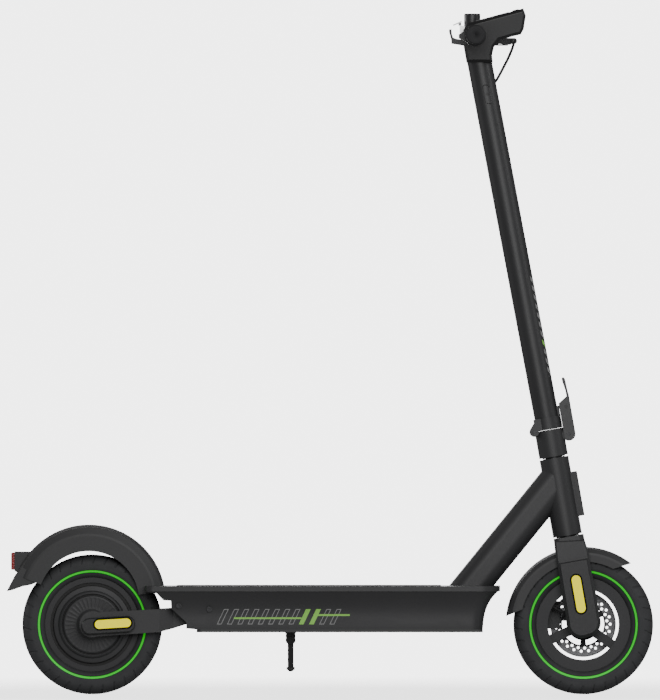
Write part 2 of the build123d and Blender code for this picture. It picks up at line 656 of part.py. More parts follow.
def rear_fender():
    section = guard_section(FENDER_R, FENDER_SKIRT_R, FENDER_CREASE_R, FENDER_HALF,
                            FENDER_CROWN_HALF, FENDER_T)
    guard = Pos(FENDER_X, 0, FENDER_Z) * swept_guard(section, FENDER_ARC)
    tail = slab(polygon(TAIL), -FENDER_HALF + 2, FENDER_HALF - 2)
    light = slab(polygon(TAIL_LIGHT), -TAIL_LIGHT_HALF, TAIL_LIGHT_HALF)
    room = rod(FENDER_R - FENDER_T, -FENDER_HALF + FENDER_T + 1, FENDER_HALF - FENDER_T - 1,
               FENDER_X, FENDER_Z)
    return guard + ((tail + light) - room)


save("rear_fender", rear_fender())
lens = block((TAIL_LENS[0], TAIL_LENS[2]), (-TAIL_LIGHT_HALF + 2, TAIL_LIGHT_HALF - 2),
             (TAIL_LENS[1], TAIL_LENS[3]))
save("tail_light_lens", fillet(lens.faces().sort_by(Axis.X)[0].edges(), 2.5))
front_section = guard_section(GUARD_R, GUARD_SKIRT_R, GUARD_R - 14, GUARD_HALF, GUARD_CROWN_HALF,
                              GUARD_T)
front_guard = swept_guard(front_section, GUARD_ARC)
for end_cut in GUARD_END_CUTS:
    front_guard -= slab(polygon(end_cut), -GUARD_HALF - 1, GUARD_HALF + 1)
save("front_fender", AXLE_FRONT * front_guard)


# ---- head tube and down tube
head_tube = tube(HEAD_TUBE_R, HEAD_BORE_R, *HEAD_TUBE)
save("head_tube", STEER * head_tube)
headset = tube(HEAD_BORE_R, STEERER_R + RUN, HEAD_TUBE[0], HEAD_TUBE[0] + HEADSET_H)
headset += tube(HEAD_BORE_R - 1, STEERER_R + RUN, CROWN_TOP + GAP, HEAD_TUBE[0])
headset_top = tube(HEAD_BORE_R, STEERER_R + RUN, HEAD_TUBE[1] - HEADSET_H, HEAD_TUBE[1])
headset_top += tube(HEAD_BORE_R - 2, STEERER_R + RUN, HEAD_TUBE[1], FOLD_BASE[0] - 2)
save("headset_bearings", STEER * group(headset, headset_top))


def down_tube():
    """Hollow rounded tube from the head tube down to the deck's top face."""
    section = RectangleRounded(DOWN_DEPTH, DOWN_WIDTH, DOWN_CORNER_R)
    bore = RectangleRounded(DOWN_DEPTH - 2 * DOWN_WALL, DOWN_WIDTH - 2 * DOWN_WALL,
                            DOWN_CORNER_R - DOWN_WALL)
    reach = 420
    top_x = FRONT_X - DOWN_TOP_S * math.sin(math.radians(HEAD_ANGLE))
    top_z = WHEEL_R + DOWN_TOP_S * math.cos(math.radians(HEAD_ANGLE))
    place = Pos(top_x, 0, top_z) * Rot(0, DOWN_ANGLE, 0) * Pos(0, 0, -reach)
    pipe = place * (extrude(section, amount=reach + 40) - extrude(bore, amount=reach + 40))
    pipe -= block((-500, 900), (-100, 100), (-400, DECK_TOP))
    pipe -= STEER * (post(HEAD_TUBE_R, 0, 400) + block((0, 200), (-100, 100), (0, 400)))
    return pipe.solids().sort_by(SortBy.VOLUME)[-1]


save("down_tube", down_tube())

low_s, high_s, front_t = BADGE
badge = block((0, front_t), (-BADGE_HALF, BADGE_HALF), (low_s, high_s))
badge = fillet(badge.faces().sort_by(Axis.X)[-1].edges(), BADGE_EDGE_R)
save("head_badge", STEER * (badge - post(HEAD_TUBE_R, 0, 400)))


# ---- fork
def leg_outline():
    """One leg from the side: straight edges and a round foot."""
    foot_front, foot, foot_rear, foot_end = LEG_END
    with BuildSketch() as leg:
        with BuildLine():
            Polyline(*LEG_REAR, *LEG_FRONT)
            ThreePointArc(LEG_FRONT[-1], foot_front, foot)
            ThreePointArc(foot, foot_rear, foot_end)
            Line(foot_end, LEG_REAR[0])
        make_face()
    return leg.sketch


def front_fork():
    """Two cast legs under a crown, and the stub that carries the steerer."""
    side = slab(leg_outline(), LEG_Y[0], LEG_Y[1])
    outer_edges = side.faces().sort_by(Axis.Y)[-1].edges()
    side = chamfer(outer_edges, 3)
    crown = block((-25.9, 28.7), (-LEG_Y[1] + 2, LEG_Y[1] - 2), (CROWN_BOTTOM, CROWN_TOP))
    crown = fillet(crown.edges().filter_by(Axis.Z), 10)
    crown += side + mirrored(side)
    crown &= block((-60, 60), (-LEG_Y[1], LEG_Y[1]), (-60, CROWN_TOP))
    crown -= Rot(0, HEAD_ANGLE, 0) * rod(GUARD_R, -LEG_Y[0], LEG_Y[0])
    crown -= post(STEERER_R, STEERER_BOTTOM, CROWN_TOP + 1)
    return crown - rod(AXLE_R, -LEG_Y[1], LEG_Y[1])


save("front_fork", STEER * front_fork())
save("steerer_tube", STEER * tube(STEERER_R, STEERER_R - 3, STEERER_BOTTOM, FOLD_BASE[1] - 20))


def fork_cover():
    """Cap over the leg's foot and the axle nut, in the leg's own outline."""
    cap_y = (LEG_Y[1], LEG_Y[1] + COVER_T)
    cap = slab(offset(leg_outline(), -FORK_COVER_INSET, kind=Kind.INTERSECTION), *cap_y)
    cap &= block((-60, 60), cap_y, (-60, FORK_COVER_TOP))
    cap = chamfer(cap.faces().sort_by(Axis.Y)[-1].edges(), COVER_CHAMFER)
    return cap - rod(NUT_R + 1, LEG_Y[1], LEG_Y[1] + NUT_T + NUT_ROOM)


def fork_reflector():
    t, s, length, width = FRONT_REFLECTOR
    y_low = LEG_Y[1] + COVER_T
    return Pos(t, 0, s) * capsule(length, width, 90, y_low, y_low + REFLECTOR_T)


save("fork_covers", STEER * pair(fork_cover()))
save("front_reflectors", STEER * pair(fork_reflector()))


# ---- brake caliper and pads
def brake_caliper():
    """Cast body over the disc's rear edge, with a slot for the disc and a tab on the fork leg."""
    body = block(CALIPER_X, CALIPER_Y, CALIPER_Z)
    body &= rod(CALIPER_OUT_R, *CALIPER_Y)
    body += block(CALIPER_TAB[:2], (CALIPER_SLOT_Y[1], LEG_Y[0]), CALIPER_TAB[2:])
    body -= rod(ROTOR_R + 2, *CALIPER_SLOT_Y)
    return body


def brake_pads():
    inner = block(PAD_X, (CALIPER_SLOT_Y[0], ROTOR_Y - PAD_GAP), PAD_Z)
    outer = block(PAD_X, (ROTOR_Y + ROTOR_T + PAD_GAP, CALIPER_SLOT_Y[1]), PAD_Z)
    keep = rod(ROTOR_R + 1, *CALIPER_SLOT_Y)
    return group(inner & keep, outer & keep)


save("brake_caliper", AXLE_FRONT * brake_caliper())
save("brake_pads", AXLE_FRONT * brake_pads())


# ---- folding joint
def knuckle(y_low, y_high):
    return rod(HINGE_EAR_R, y_low, y_high, *HINGE)


def fold_base():
    """Socket on the steerer with the middle hinge knuckle behind and the latch's lug in front."""
    body = post(FOLD_BASE_R, *FOLD_BASE) + post(BASE_NECK_R, FOLD_BASE[0] - 1.5, FOLD_BASE[0])
    clear = HINGE_EAR_R + GAP
    body -= rod(clear, HINGE_KNUCKLE, HINGE_HALF + GAP, *HINGE)
    body -= rod(clear, -HINGE_HALF - GAP, -HINGE_KNUCKLE, *HINGE)
    ear = knuckle(-HINGE_KNUCKLE, HINGE_KNUCKLE)
    ear += slab(polygon(BASE_WEB), -HINGE_KNUCKLE, HINGE_KNUCKLE)
    lug = rod(LATCH_END_R - 3, -LATCH_LUG_HALF, LATCH_LUG_HALF, *LATCH_PIVOT)
    lug += block((18, LATCH_PIVOT[0]), (-LATCH_LUG_HALF, LATCH_LUG_HALF),
                 (LATCH_PIVOT[1] - 9, LATCH_PIVOT[1] + 9))
    for side in (1, -1):
        low, high = sorted((side * LATCH_LUG_HALF, side * (LATCH_LUG_HALF + LATCH_CHEEK_T + 2 * GAP)))
        body -= rod(LATCH_END_R + GAP, low, high, *LATCH_PIVOT)
    body += ear + lug
    body -= rod(HINGE_PIN_R, -HINGE_HALF, HINGE_HALF, *HINGE)
    body -= rod(LATCH_PIN_R, -LATCH_LUG_HALF, LATCH_LUG_HALF, *LATCH_PIVOT)
    body -= post(STEERER_R, 0, FOLD_BASE[1] - 20)
    return body - post(STEERER_R - 3, 0, FOLD_BASE[1])


def stem_collar():
    """Upper half of the hinge, welded round the foot of the stem."""
    collar = post(COLLAR_R, FOLD_PLANE + GAP, COLLAR_TOP)
    collar -= rod(HINGE_EAR_R + GAP, -HINGE_KNUCKLE - GAP, HINGE_KNUCKLE + GAP, *HINGE)
    for side in (1, -1):
        low, high = sorted((side * (HINGE_KNUCKLE + GAP), side * HINGE_HALF))
        ear = knuckle(low, high)
        ear += slab(polygon(COLLAR_WEB), low, high)
        collar += ear
    collar -= rod(HINGE_PIN_R + RUN, -HINGE_HALF, HINGE_HALF, *HINGE)
    catch = block((12, CATCH_T), (-CATCH_HALF, CATCH_HALF), CATCH)
    bridge = block((12, COLLAR_R), (-CATCH_HALF, CATCH_HALF), (COLLAR_TOP - 4, CATCH[1]))
    collar += catch + bridge
    stem_hole = Pos(0, 0, FOLD_PLANE) * Rot(0, -STEM_EXTRA_LEAN, 0) * post(STEM_R, STEM_BOTTOM_U, 200)
    return collar - stem_hole


def latch_lever():
    """Over-centre lever: two cheeks on the lower pin, a web between them and a blade handle."""
    cheek = polygon(((LATCH_BACK, 352), (LATCH_BACK, 405), (42.6, 415.6), (LATCH_FRONT, 415.6),
                     (LATCH_FRONT, LATCH_PIVOT[1]), (LATCH_BACK, LATCH_PIVOT[1])))
    y_low = LATCH_LUG_HALF + GAP
    side = slab(cheek, y_low, y_low + LATCH_CHEEK_T)
    side += rod(LATCH_END_R, y_low, y_low + LATCH_CHEEK_T, *LATCH_PIVOT)
    side &= block((LATCH_BACK, LATCH_FRONT), (0, 40), (300, 500))
    y_out = y_low + LATCH_CHEEK_T
    lever = side + mirrored(side)
    lever += block((LATCH_FRONT - LATCH_WEB_T, LATCH_FRONT), (-y_out, y_out), (364, 415.6))
    lever += slab(polygon(LATCH_BLADE), -y_out, y_out)
    lever += rod(3, -y_out, y_out, *LATCH_UPPER)
    return lever - rod(LATCH_PIN_R + RUN, -y_out, y_out, *LATCH_PIVOT)


save("fold_base", STEER * fold_base())
save("stem_collar", STEER * stem_collar())
save("hinge_pins", STEER * group(rod(HINGE_PIN_R, -HINGE_HALF, HINGE_HALF, *HINGE),
                                 rod(LATCH_PIN_R, -LATCH_LUG_HALF - GAP - LATCH_CHEEK_T,
                                     LATCH_LUG_HALF + GAP + LATCH_CHEEK_T, *LATCH_PIVOT)))
save("latch_lever", STEER * latch_lever())


# ---- stem
bar_hole = BAR * rod(BAR_R, -60, 60)
stem = STEM * tube(STEM_R, STEM_R - STEM_WALL, STEM_BOTTOM_U, STEM_TOP_U)
cable_hole = Pos(298, 0, 1114) * Rot(0, 41, 0) * post(CABLE_R + 1.5, -14, 20)
save("stem_tube", stem - bar_hole - cable_hole)


# ---- cockpit
def dash_outline():
    return polygon((DASH_REAR, DASH_FRONT) + DASH_NOSE + DASH_BACK)


def dash_slope():
    """Place on the sloping top face, x up the slope from its rear edge."""
    rise = math.degrees(math.atan2(DASH_FRONT[1] - DASH_REAR[1], DASH_FRONT[0] - DASH_REAR[0]))
    return Pos(DASH_REAR[0], 0, DASH_REAR[1]) * Rot(0, -rise, 0)


def dash_housing():
    shell = slab(dash_outline(), -DASH_HALF, DASH_HALF)
    sides = shell.faces().filter_by(Axis.Y)
    shell = chamfer(sides[0].edges() + sides[-1].edges(), 5)
    shell -= STEM * post(STEM_R, 0, STEM_TOP_U)
    shell -= BAR * rod(BAR_R, -60, 60)
    length, width, thick = DISPLAY
    slope = dash_slope()
    shell -= slope * Pos(DISPLAY_ALONG, 0, 0) * Box(length, width, 2 * DISPLAY_SINK)
    shell -= slope * Pos(BUTTON_ALONG, 0, 0) * post(BUTTON_R + GAP, -BUTTON_T - 2, 10)
    shell -= block((DASH_NOSE[1][0] - 4.0, 400), (-LENS_HALF, LENS_HALF), LENS_Z)
    return shell


save("dash_housing", dash_housing())
length, width, thick = DISPLAY
save("dash_display", dash_slope() * Pos(DISPLAY_ALONG, 0, thick / 2 - DISPLAY_SINK)
     * Box(length, width, thick))
save("power_button", dash_slope() * Pos(BUTTON_ALONG, 0, 0)
     * post(BUTTON_R, BUTTON_PROUD - BUTTON_T, BUTTON_PROUD))
lens_back = DASH_NOSE[1][0] - 4.0
headlight = block((lens_back, lens_back + LENS_T + 2), (-LENS_HALF, LENS_HALF), LENS_Z)
save("headlight_lens", fillet(headlight.faces().sort_by(Axis.X)[-1].edges(), 2))

bar = rod(BAR_R, -BAR_HALF + 2, BAR_HALF - 2) - rod(BAR_R - 2.5, -BAR_HALF + 2, BAR_HALF - 2)
save("handlebar", BAR * bar)
grip = rod(GRIP_R, BAR_HALF - GRIP_L, BAR_HALF)
grip += rod(GRIP_FLANGE_R, BAR_HALF - GRIP_L, BAR_HALF - GRIP_L + GRIP_FLANGE_T)
grip = fillet(grip.edges().group_by(Axis.Y)[-1], 3)
save("grips", BAR * pair(grip - rod(BAR_R, 0, BAR_HALF - 2)))

save("throttle_clamp", BAR * (rod(THROTTLE_R, *CLAMP_Y) - rod(BAR_R, *CLAMP_Y)))
paddle = rod(THROTTLE_R, *THROTTLE_Y)
paddle += slab(polygon(((-4, 18), (THROTTLE_TIP[0], 2), THROTTLE_TIP, (THROTTLE_TIP[0], -5),
                        (-6, -17))), *THROTTLE_Y)
save("throttle_paddle", BAR * (paddle - rod(BAR_R + 0.1, *THROTTLE_Y)))


# ---- brake lever and its perch
def brake_perch():
    """Clamp round the bar with an arm forward to the lever's pivot and the cable adjuster."""
    perch = BAR * rod(PERCH_R, *PERCH_Y)
    pivot_x, pivot_y = LEVER_PIVOT
    perch += block((BAR_X, pivot_x - 10), PERCH_Y, (LEVER_Z[0] - 3, LEVER_Z[1] + 3))
    for z_low in (LEVER_Z[0] - 3, LEVER_Z[1] + GAP):
        perch += block((pivot_x - 12, pivot_x + 4), PERCH_Y, (z_low, z_low + 3 - GAP))
        perch += Pos(pivot_x, pivot_y, 0) * post(LEVER_END_R - 1, z_low, z_low + 3 - GAP)
    perch -= BAR * rod(BAR_R, *PERCH_Y)
    sweep_room = Pos(pivot_x, pivot_y, 0) * post(LEVER_END_R + GAP, LEVER_Z[0] - GAP, LEVER_Z[1] + GAP)
    perch -= sweep_room
    perch += Pos(pivot_x, pivot_y, 0) * post(LEVER_PIN_R, LEVER_Z[0] - 2, LEVER_Z[1] + 2)
    arm = block((pivot_x - 10, ADJUSTER[0]), (PERCH_Y[0] - 6, PERCH_Y[0]), (LEVER_Z[0], LEVER_Z[1]))
    perch += arm + rod(ADJUSTER_R, *ADJUSTER_Y, *ADJUSTER)
    return perch


def brake_lever():
    pivot_x, pivot_y = LEVER_PIVOT
    blade = polygon(((pivot_x - 5, pivot_y + 4), (pivot_x + 7, pivot_y + 2), (331, 135), (332.5, 170),
                     (330, 205), (326, LEVER_END_Y), (319, LEVER_END_Y), (321, 203), (322, 170),
                     (320.5, 140)))
    lever = Pos(0, 0, LEVER_Z[0]) * extrude(blade, amount=LEVER_Z[1] - LEVER_Z[0])
    lever += Pos(pivot_x, pivot_y, 0) * post(LEVER_END_R, *LEVER_Z)
    lever += Pos(322.5, LEVER_END_Y, 0) * post(6, *LEVER_Z)
    return lever - Pos(pivot_x, pivot_y, 0) * post(LEVER_PIN_R + RUN, *LEVER_Z)


save("brake_lever_mount", brake_perch())
save("brake_lever", brake_lever())


# ---- brake cable, held between the adjuster and the stem
def corner_radii(points):
    """The largest arc that each corner's shorter run allows."""
    radii = []
    for before, corner, after in zip(points, points[1:], points[2:]):
        run_in = Vector(*corner) - Vector(*before)
        run_out = Vector(*after) - Vector(*corner)
        half_turn = math.radians(run_in.get_angle(run_out)) / 2
        radii.append(0.45 * min(run_in.length, run_out.length) / math.tan(half_turn))
    return radii


radii = corner_radii(CABLE_ROUTE)
print("brake cable radii", [round(radius, 1) for radius in radii])
path = FilletPolyline(*CABLE_ROUTE, radius=radii)
section = Plane(origin=CABLE_ROUTE[0], z_dir=Vector(*CABLE_ROUTE[1]) - Vector(*CABLE_ROUTE[0]))
cable = sweep(section * Circle(CABLE_R), path=path)
print("brake cable volume ratio", cable.volume / (math.pi * CABLE_R ** 2 * path.length))
save("brake_cable", cable)


# ---- bell
bell = Pos(BELL_X, BELL_Y, 0) * post(BELL_R, *BELL_Z)
bell = fillet(bell.edges().group_by(Axis.Z)[-1], 2)
bell += BAR * rod(BELL_CLAMP_R, BELL_Y - BELL_CLAMP_HALF, BELL_Y + BELL_CLAMP_HALF)
bell += block((237, 247), (BELL_Y - 6, BELL_Y + 6), (1208, 1221))
save("bell_body", bell - BAR * rod(BAR_R, 0, 200))
thumb = Pos(233, BELL_Y, BELL_LEVER_Z + 3.4) * Rot(0, -24, 0) * Box(17, 12, BELL_LEVER_T)
save("bell_lever", thumb + Pos(237.5, BELL_Y, 0) * post(2.5, 1221.4, 1226.5))


# ---- fold hook on the back of the stem
hook = slab(polygon(HOOK), -HOOK_HALF, HOOK_HALF) - STEM * post(STEM_R, 0, STEM_TOP_U)
hook = hook - slab(dash_outline(), -DASH_HALF, DASH_HALF)
save("fold_hook", hook.solids().sort_by(Axis.X)[0])


# ---- kickstand
def kickstand_bracket():
    """Clevis under the deck's left edge, square to the leg's tilted pivot."""
    place = Pos(STAND_X, STAND_Y, STAND_Z) * Rot(STAND_LEAN, 0, 0)
    ear = rod(STAND_EAR_R, STAND_EAR_T, 2 * STAND_EAR_T) + rod(STAND_EAR_R, -2 * STAND_EAR_T, -STAND_EAR_T)
    ear += rod(STAND_PIN_R, -2 * STAND_EAR_T, 2 * STAND_EAR_T)
    ears = place * ear
    plate = block((STAND_X - STAND_HALF, STAND_X + STAND_HALF), (44, DECK_HALF),
                  (DECK_BOTTOM - STAND_PLATE_T, DECK_BOTTOM))
    return ears, plate


def kickstand_leg():
    place = Pos(STAND_X, STAND_Y, STAND_Z) * Rot(STAND_LEAN, 0, 0)
    reach = (STAND_Z - STAND_FOOT_Z) / math.cos(math.radians(STAND_LEAN))
    eye_half = STAND_EAR_T - GAP
    leg = rod(STAND_EAR_R - 0.5, -eye_half, eye_half)
    leg += block((-STAND_LEG_R, STAND_LEG_R), (-eye_half, eye_half), (-STAND_EAR_R - 8, -2))
    leg += post(STAND_LEG_R, -reach, -STAND_EAR_R - 3)
    leg -= rod(STAND_PIN_R + RUN, -eye_half, eye_half)
    foot = Pos(STAND_X, STAND_Y + reach * math.sin(math.radians(STAND_LEAN)),
               STAND_FOOT_Z + STAND_FOOT[2] / 2) * Box(*STAND_FOOT)
    return place * leg + foot


ears, plate = kickstand_bracket()
stand_seat = ears + plate
stand_seat += block((STAND_X - STAND_SEAT_HALF, STAND_X + STAND_SEAT_HALF), (50, DECK_HALF - 2),
                    (100, DECK_BOTTOM))
swing_room = Pos(STAND_X, STAND_Y, STAND_Z) * Rot(STAND_LEAN, 0, 0) * rod(
    STAND_EAR_R + 1, -STAND_EAR_T, STAND_EAR_T)
pin = Pos(STAND_X, STAND_Y, STAND_Z) * Rot(STAND_LEAN, 0, 0) * rod(
    STAND_PIN_R, -STAND_EAR_T, STAND_EAR_T)
save("kickstand_bracket", (stand_seat - swing_room) + pin)
save("kickstand_leg", kickstand_leg())
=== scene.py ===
import bmesh
import bpy
import numpy as np
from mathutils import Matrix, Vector


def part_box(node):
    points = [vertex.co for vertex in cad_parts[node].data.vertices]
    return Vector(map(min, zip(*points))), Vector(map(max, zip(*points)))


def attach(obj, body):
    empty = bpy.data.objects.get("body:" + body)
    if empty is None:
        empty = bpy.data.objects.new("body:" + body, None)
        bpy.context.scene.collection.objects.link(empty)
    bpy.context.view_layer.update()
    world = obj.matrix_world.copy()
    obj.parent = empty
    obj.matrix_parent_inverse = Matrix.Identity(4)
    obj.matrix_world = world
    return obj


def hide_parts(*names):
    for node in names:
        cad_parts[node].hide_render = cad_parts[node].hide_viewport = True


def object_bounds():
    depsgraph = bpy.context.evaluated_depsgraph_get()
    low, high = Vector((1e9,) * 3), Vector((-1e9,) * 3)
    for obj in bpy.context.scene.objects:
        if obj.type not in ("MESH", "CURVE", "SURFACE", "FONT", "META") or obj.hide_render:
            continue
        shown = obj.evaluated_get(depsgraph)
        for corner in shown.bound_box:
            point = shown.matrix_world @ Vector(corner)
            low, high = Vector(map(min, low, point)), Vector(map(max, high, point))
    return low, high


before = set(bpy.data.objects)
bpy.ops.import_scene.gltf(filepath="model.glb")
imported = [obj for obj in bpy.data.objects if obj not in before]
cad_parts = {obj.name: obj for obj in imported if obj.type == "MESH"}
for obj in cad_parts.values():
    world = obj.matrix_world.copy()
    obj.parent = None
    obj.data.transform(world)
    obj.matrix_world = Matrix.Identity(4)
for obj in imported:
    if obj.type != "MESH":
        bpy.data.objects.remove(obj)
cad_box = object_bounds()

# ---- studio
# A plain pale floor that fades into a white surround, four large soft lights and a long lens,
# level with the middle of the scooter and square to its side.
low, high = (np.array(corner) for corner in cad_box)
middle = (low + high) / 2
CAMERA_DISTANCE = 40.0
FRAME_HEIGHT = 1.2775          # height of the view at the scooter
CAMERA_RISE = 0.0025
SENSOR = 36.0

camera_data = bpy.data.cameras.new("camera")
camera_data.sensor_fit = "VERTICAL"
camera_data.sensor_height = SENSOR
camera_data.lens = SENSOR * CAMERA_DISTANCE / FRAME_HEIGHT
camera_data.clip_end = 200.0
camera = bpy.data.objects.new("camera", camera_data)
camera.location = (0.0, -CAMERA_DISTANCE, middle[2] + CAMERA_RISE)
camera.rotation_euler = (np.pi / 2, 0.0, 0.0)
bpy.context.scene.collection.objects.link(camera)
bpy.context.scene.camera = camera

SURROUND_SEEN = 4.5            # how bright the white surround is where it is seen directly
SURROUND_LIGHT = 0.16          # and how strongly it lights the scooter
world = bpy.data.worlds.new("studio")
world.use_nodes = True
surround = world.node_tree.nodes["Background"]
surround.inputs["Color"].default_value = (1.0, 1.0, 1.0, 1.0)
path = world.node_tree.nodes.new("ShaderNodeLightPath")
brightness = world.node_tree.nodes.new("ShaderNodeMapRange")
brightness.inputs["To Min"].default_value = SURROUND_LIGHT
brightness.inputs["To Max"].default_value = SURROUND_SEEN
world.node_tree.links.new(path.outputs["Is Camera Ray"], brightness.inputs["Value"])
world.node_tree.links.new(brightness.outputs["Result"], surround.inputs["Strength"])
bpy.context.scene.world = world


def soft_light(name, place, aim, size, watts):
    """A square area light at place that faces aim."""
    data = bpy.data.lights.new(name, "AREA")
    data.size = size
    data.energy = watts
    light = bpy.data.objects.new(name, data)
    light.location = place
    light.rotation_euler = (Vector(aim) - Vector(place)).to_track_quat("-Z", "Y").to_euler()
    bpy.context.scene.collection.objects.link(light)


soft_light("front", (0.5, -4.4, 1.7), (0, 0, 0.5), 2.6, 88.0)
soft_light("rear", (-0.5, 4.4, 1.7), (0, 0, 0.5), 2.6, 88.0)
soft_light("ahead", (3.6, -1.2, 2.2), (0.2, 0, 0.5), 1.6, 24.0)
soft_light("behind", (-3.6, 0.6, 1.6), (0, 0, 0.4), 1.6, 24.0)


class Value:
    """A shader socket that can be used in a sum: each operator adds one Math node."""

    def __init__(self, tree, socket):
        self.tree = tree
        self.socket = socket

    def math(self, operation, *others):
        node = self.tree.nodes.new("ShaderNodeMath")
        node.operation = operation
        for index, item in enumerate((self,) + others):
            feed(self.tree, node.inputs[index], item)
        return Value(self.tree, node.outputs[0])

    def __add__(self, other):
        return self.math("ADD", other)

    __radd__ = __add__

    def __mul__(self, other):
        return self.math("MULTIPLY", other)

    __rmul__ = __mul__

    def __sub__(self, other):
        return self.math("SUBTRACT", other)

    def __rsub__(self, other):
        return (self * -1.0).math("ADD", other)

    def __truediv__(self, other):
        return self.math("DIVIDE", other)

    def __lt__(self, other):
        return self.math("LESS_THAN", other)

    def __gt__(self, other):
        return self.math("GREATER_THAN", other)

    def __abs__(self):
        return self.math("ABSOLUTE")

    def soft_below(self, edge, width):
        """1 well below edge, 0 above it, with a straight ramp of the given width."""
        ramp = (edge - self) / width + 0.5
        return ramp.math("MAXIMUM", 0.0).math("MINIMUM", 1.0)


def feed(tree, socket, item):
    """Put a number, a colour or a link into a socket."""
    if isinstance(item, Value):
        tree.links.new(item.socket, socket)
    else:
        socket.default_value = item


class Finish:
    """A material: its Principled shader, with constants set on it and links fed to it."""

    def __init__(self, name, color=(0.03, 0.03, 0.03), rough=0.5, metal=0.0, coat=0.0,
                 specular=0.5, **constants):
        self.material = bpy.data.materials.new(name)
        self.material.use_nodes = True
        self.tree = self.material.node_tree
        self.shader = self.tree.nodes["Principled BSDF"]
        self.material.diffuse_color = (*color, 1.0)
        settings = {"Base Color": (*color, 1.0), "Roughness": rough, "Metallic": metal,
                    "Coat Weight": coat, "Specular IOR Level": specular}
        settings.update(constants)
        for socket, value in settings.items():
            self.shader.inputs[socket].default_value = value
        place = self.node("ShaderNodeTexCoord", output="Object")
        self.place = place
        split = self.tree.nodes.new("ShaderNodeSeparateXYZ")
        self.tree.links.new(place.socket, split.inputs[0])
        self.x, self.y, self.z = (Value(self.tree, split.outputs[axis]) for axis in range(3))

    def node(self, kind, settings=None, output=0, **inputs):
        """Any node: its settings first, then its sockets' values or links."""
        node = self.tree.nodes.new(kind)
        for key, value in (settings or {}).items():
            setattr(node, key, value)
        for key, value in inputs.items():
            feed(self.tree, node.inputs[key.replace("_", " ")], value)
        return Value(self.tree, node.outputs[output])

    def noise(self, scale, detail=2.0, roughness=0.5):
        return self.node("ShaderNodeTexNoise", Vector=self.place, Scale=scale, Detail=detail,
                         Roughness=roughness)

    def mix(self, factor, first, second):
        """A colour between two colours; each is a triple or a link."""
        node = self.tree.nodes.new("ShaderNodeMix")
        node.data_type = "RGBA"
        feed(self.tree, node.inputs[0], factor)
        for socket, item in ((node.inputs[6], first), (node.inputs[7], second)):
            feed(self.tree, socket, item if isinstance(item, Value) else (*item, 1.0))
        return Value(self.tree, node.outputs[2])

    def distance_from(self, x, z):
        """How far a point is from the line along Y through x and z."""
        dx = self.x - float(x)
        dz = self.z - float(z)
        return (dx * dx + dz * dz).math("SQRT")

    def set(self, socket, value):
        feed(self.tree, self.shader.inputs[socket], value)
        return self

    def bump(self, height, depth, strength=1.0):
        """Relief of the given depth in metres under a height between 0 and 1."""
        relief = self.node("ShaderNodeBump", Strength=strength, Distance=depth, Height=height)
        return self.set("Normal", relief)


def dress(node_names, finish):
    """Give CAD nodes a finish in every material slot."""
    for name in node_names:
        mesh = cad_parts[name].data
        if not mesh.materials:
            mesh.materials.append(finish.material)
        for index in range(len(mesh.materials)):
            mesh.materials[index] = finish.material


MASK_EDGE = 0.0005              # how wide the edge of a painted mark blurs
FLOOR_R = 2.2
FLOOR_CLEAR_R = 0.7
FLOOR_WEIGHT = 0.45
angle = np.linspace(0, 2 * np.pi, 97)[:-1]
floor_ring = np.stack([FLOOR_R * np.cos(angle), FLOOR_R * np.sin(angle), 0 * angle], 1)
floor_mesh = bpy.data.meshes.new("floor")
floor_mesh.from_pydata([tuple(p) for p in floor_ring.tolist()], [], [list(range(len(angle)))])
floor = bpy.data.objects.new("floor", floor_mesh)
bpy.context.scene.collection.objects.link(floor)
paper = Finish("floor_paper", color=(0.86, 0.86, 0.86), rough=0.9, specular=0.1)
far = (paper.x * paper.x + paper.y * paper.y).math("SQRT")
fade = far.soft_below((FLOOR_R + FLOOR_CLEAR_R) / 2, FLOOR_R - FLOOR_CLEAR_R)
paper.set("Alpha", fade * FLOOR_WEIGHT)
floor_mesh.materials.append(paper.material)

# ---- tyres
# Two 10-inch pneumatic tyres of black rubber with slit shoulders, three tread grooves and a
# green line moulded into each sidewall. The line has a painted glow, with painted groove shade
# along its edges.
BODY_OF_TYRE = {"front_tyre": "front_wheel", "rear_tyre": "rear_wheel"}
TYRE_R = 0.12748
TYRE_HALF = 0.03095
BEAD_R = 0.080
GREEN_R = 0.097
GREEN_HALF = 0.0019
SLITS = 34
GREEN = (0.03, 0.80, 0.04)
# Emission colour for the green line's painted glow.
GREEN_PAINTED_GLOW = (0.0, 0.48, 0.0)
SEAT_R = 0.0862                # where the bead sits on the rim
SLIT_W = 0.0016
SLIT_DEPTH = 0.0022
SLIT_REACH = 0.1115            # slits start outside this radius
GROOVE_PLACES = (0.0, 0.0095)
SIDE_RIB_R = (0.1035, 0.0905)
SIDE_RIB_H = 0.0004
TYRE_STEPS = 1020


def center_of(node):
    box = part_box(node)
    return (np.array(box[0]) + np.array(box[1])) / 2


def smooth_profile(points, rounds=3):
    """Corner cutting: each round replaces a corner by points a quarter and three quarters along."""
    line = np.array(points, float)
    for _ in range(rounds):
        nearer = 0.75 * line[:-1] + 0.25 * line[1:]
        farther = 0.25 * line[:-1] + 0.75 * line[1:]
        inner = np.stack([nearer, farther], 1).reshape(-1, line.shape[1])
        line = np.concatenate([line[:1], inner, line[-1:]])
    return line


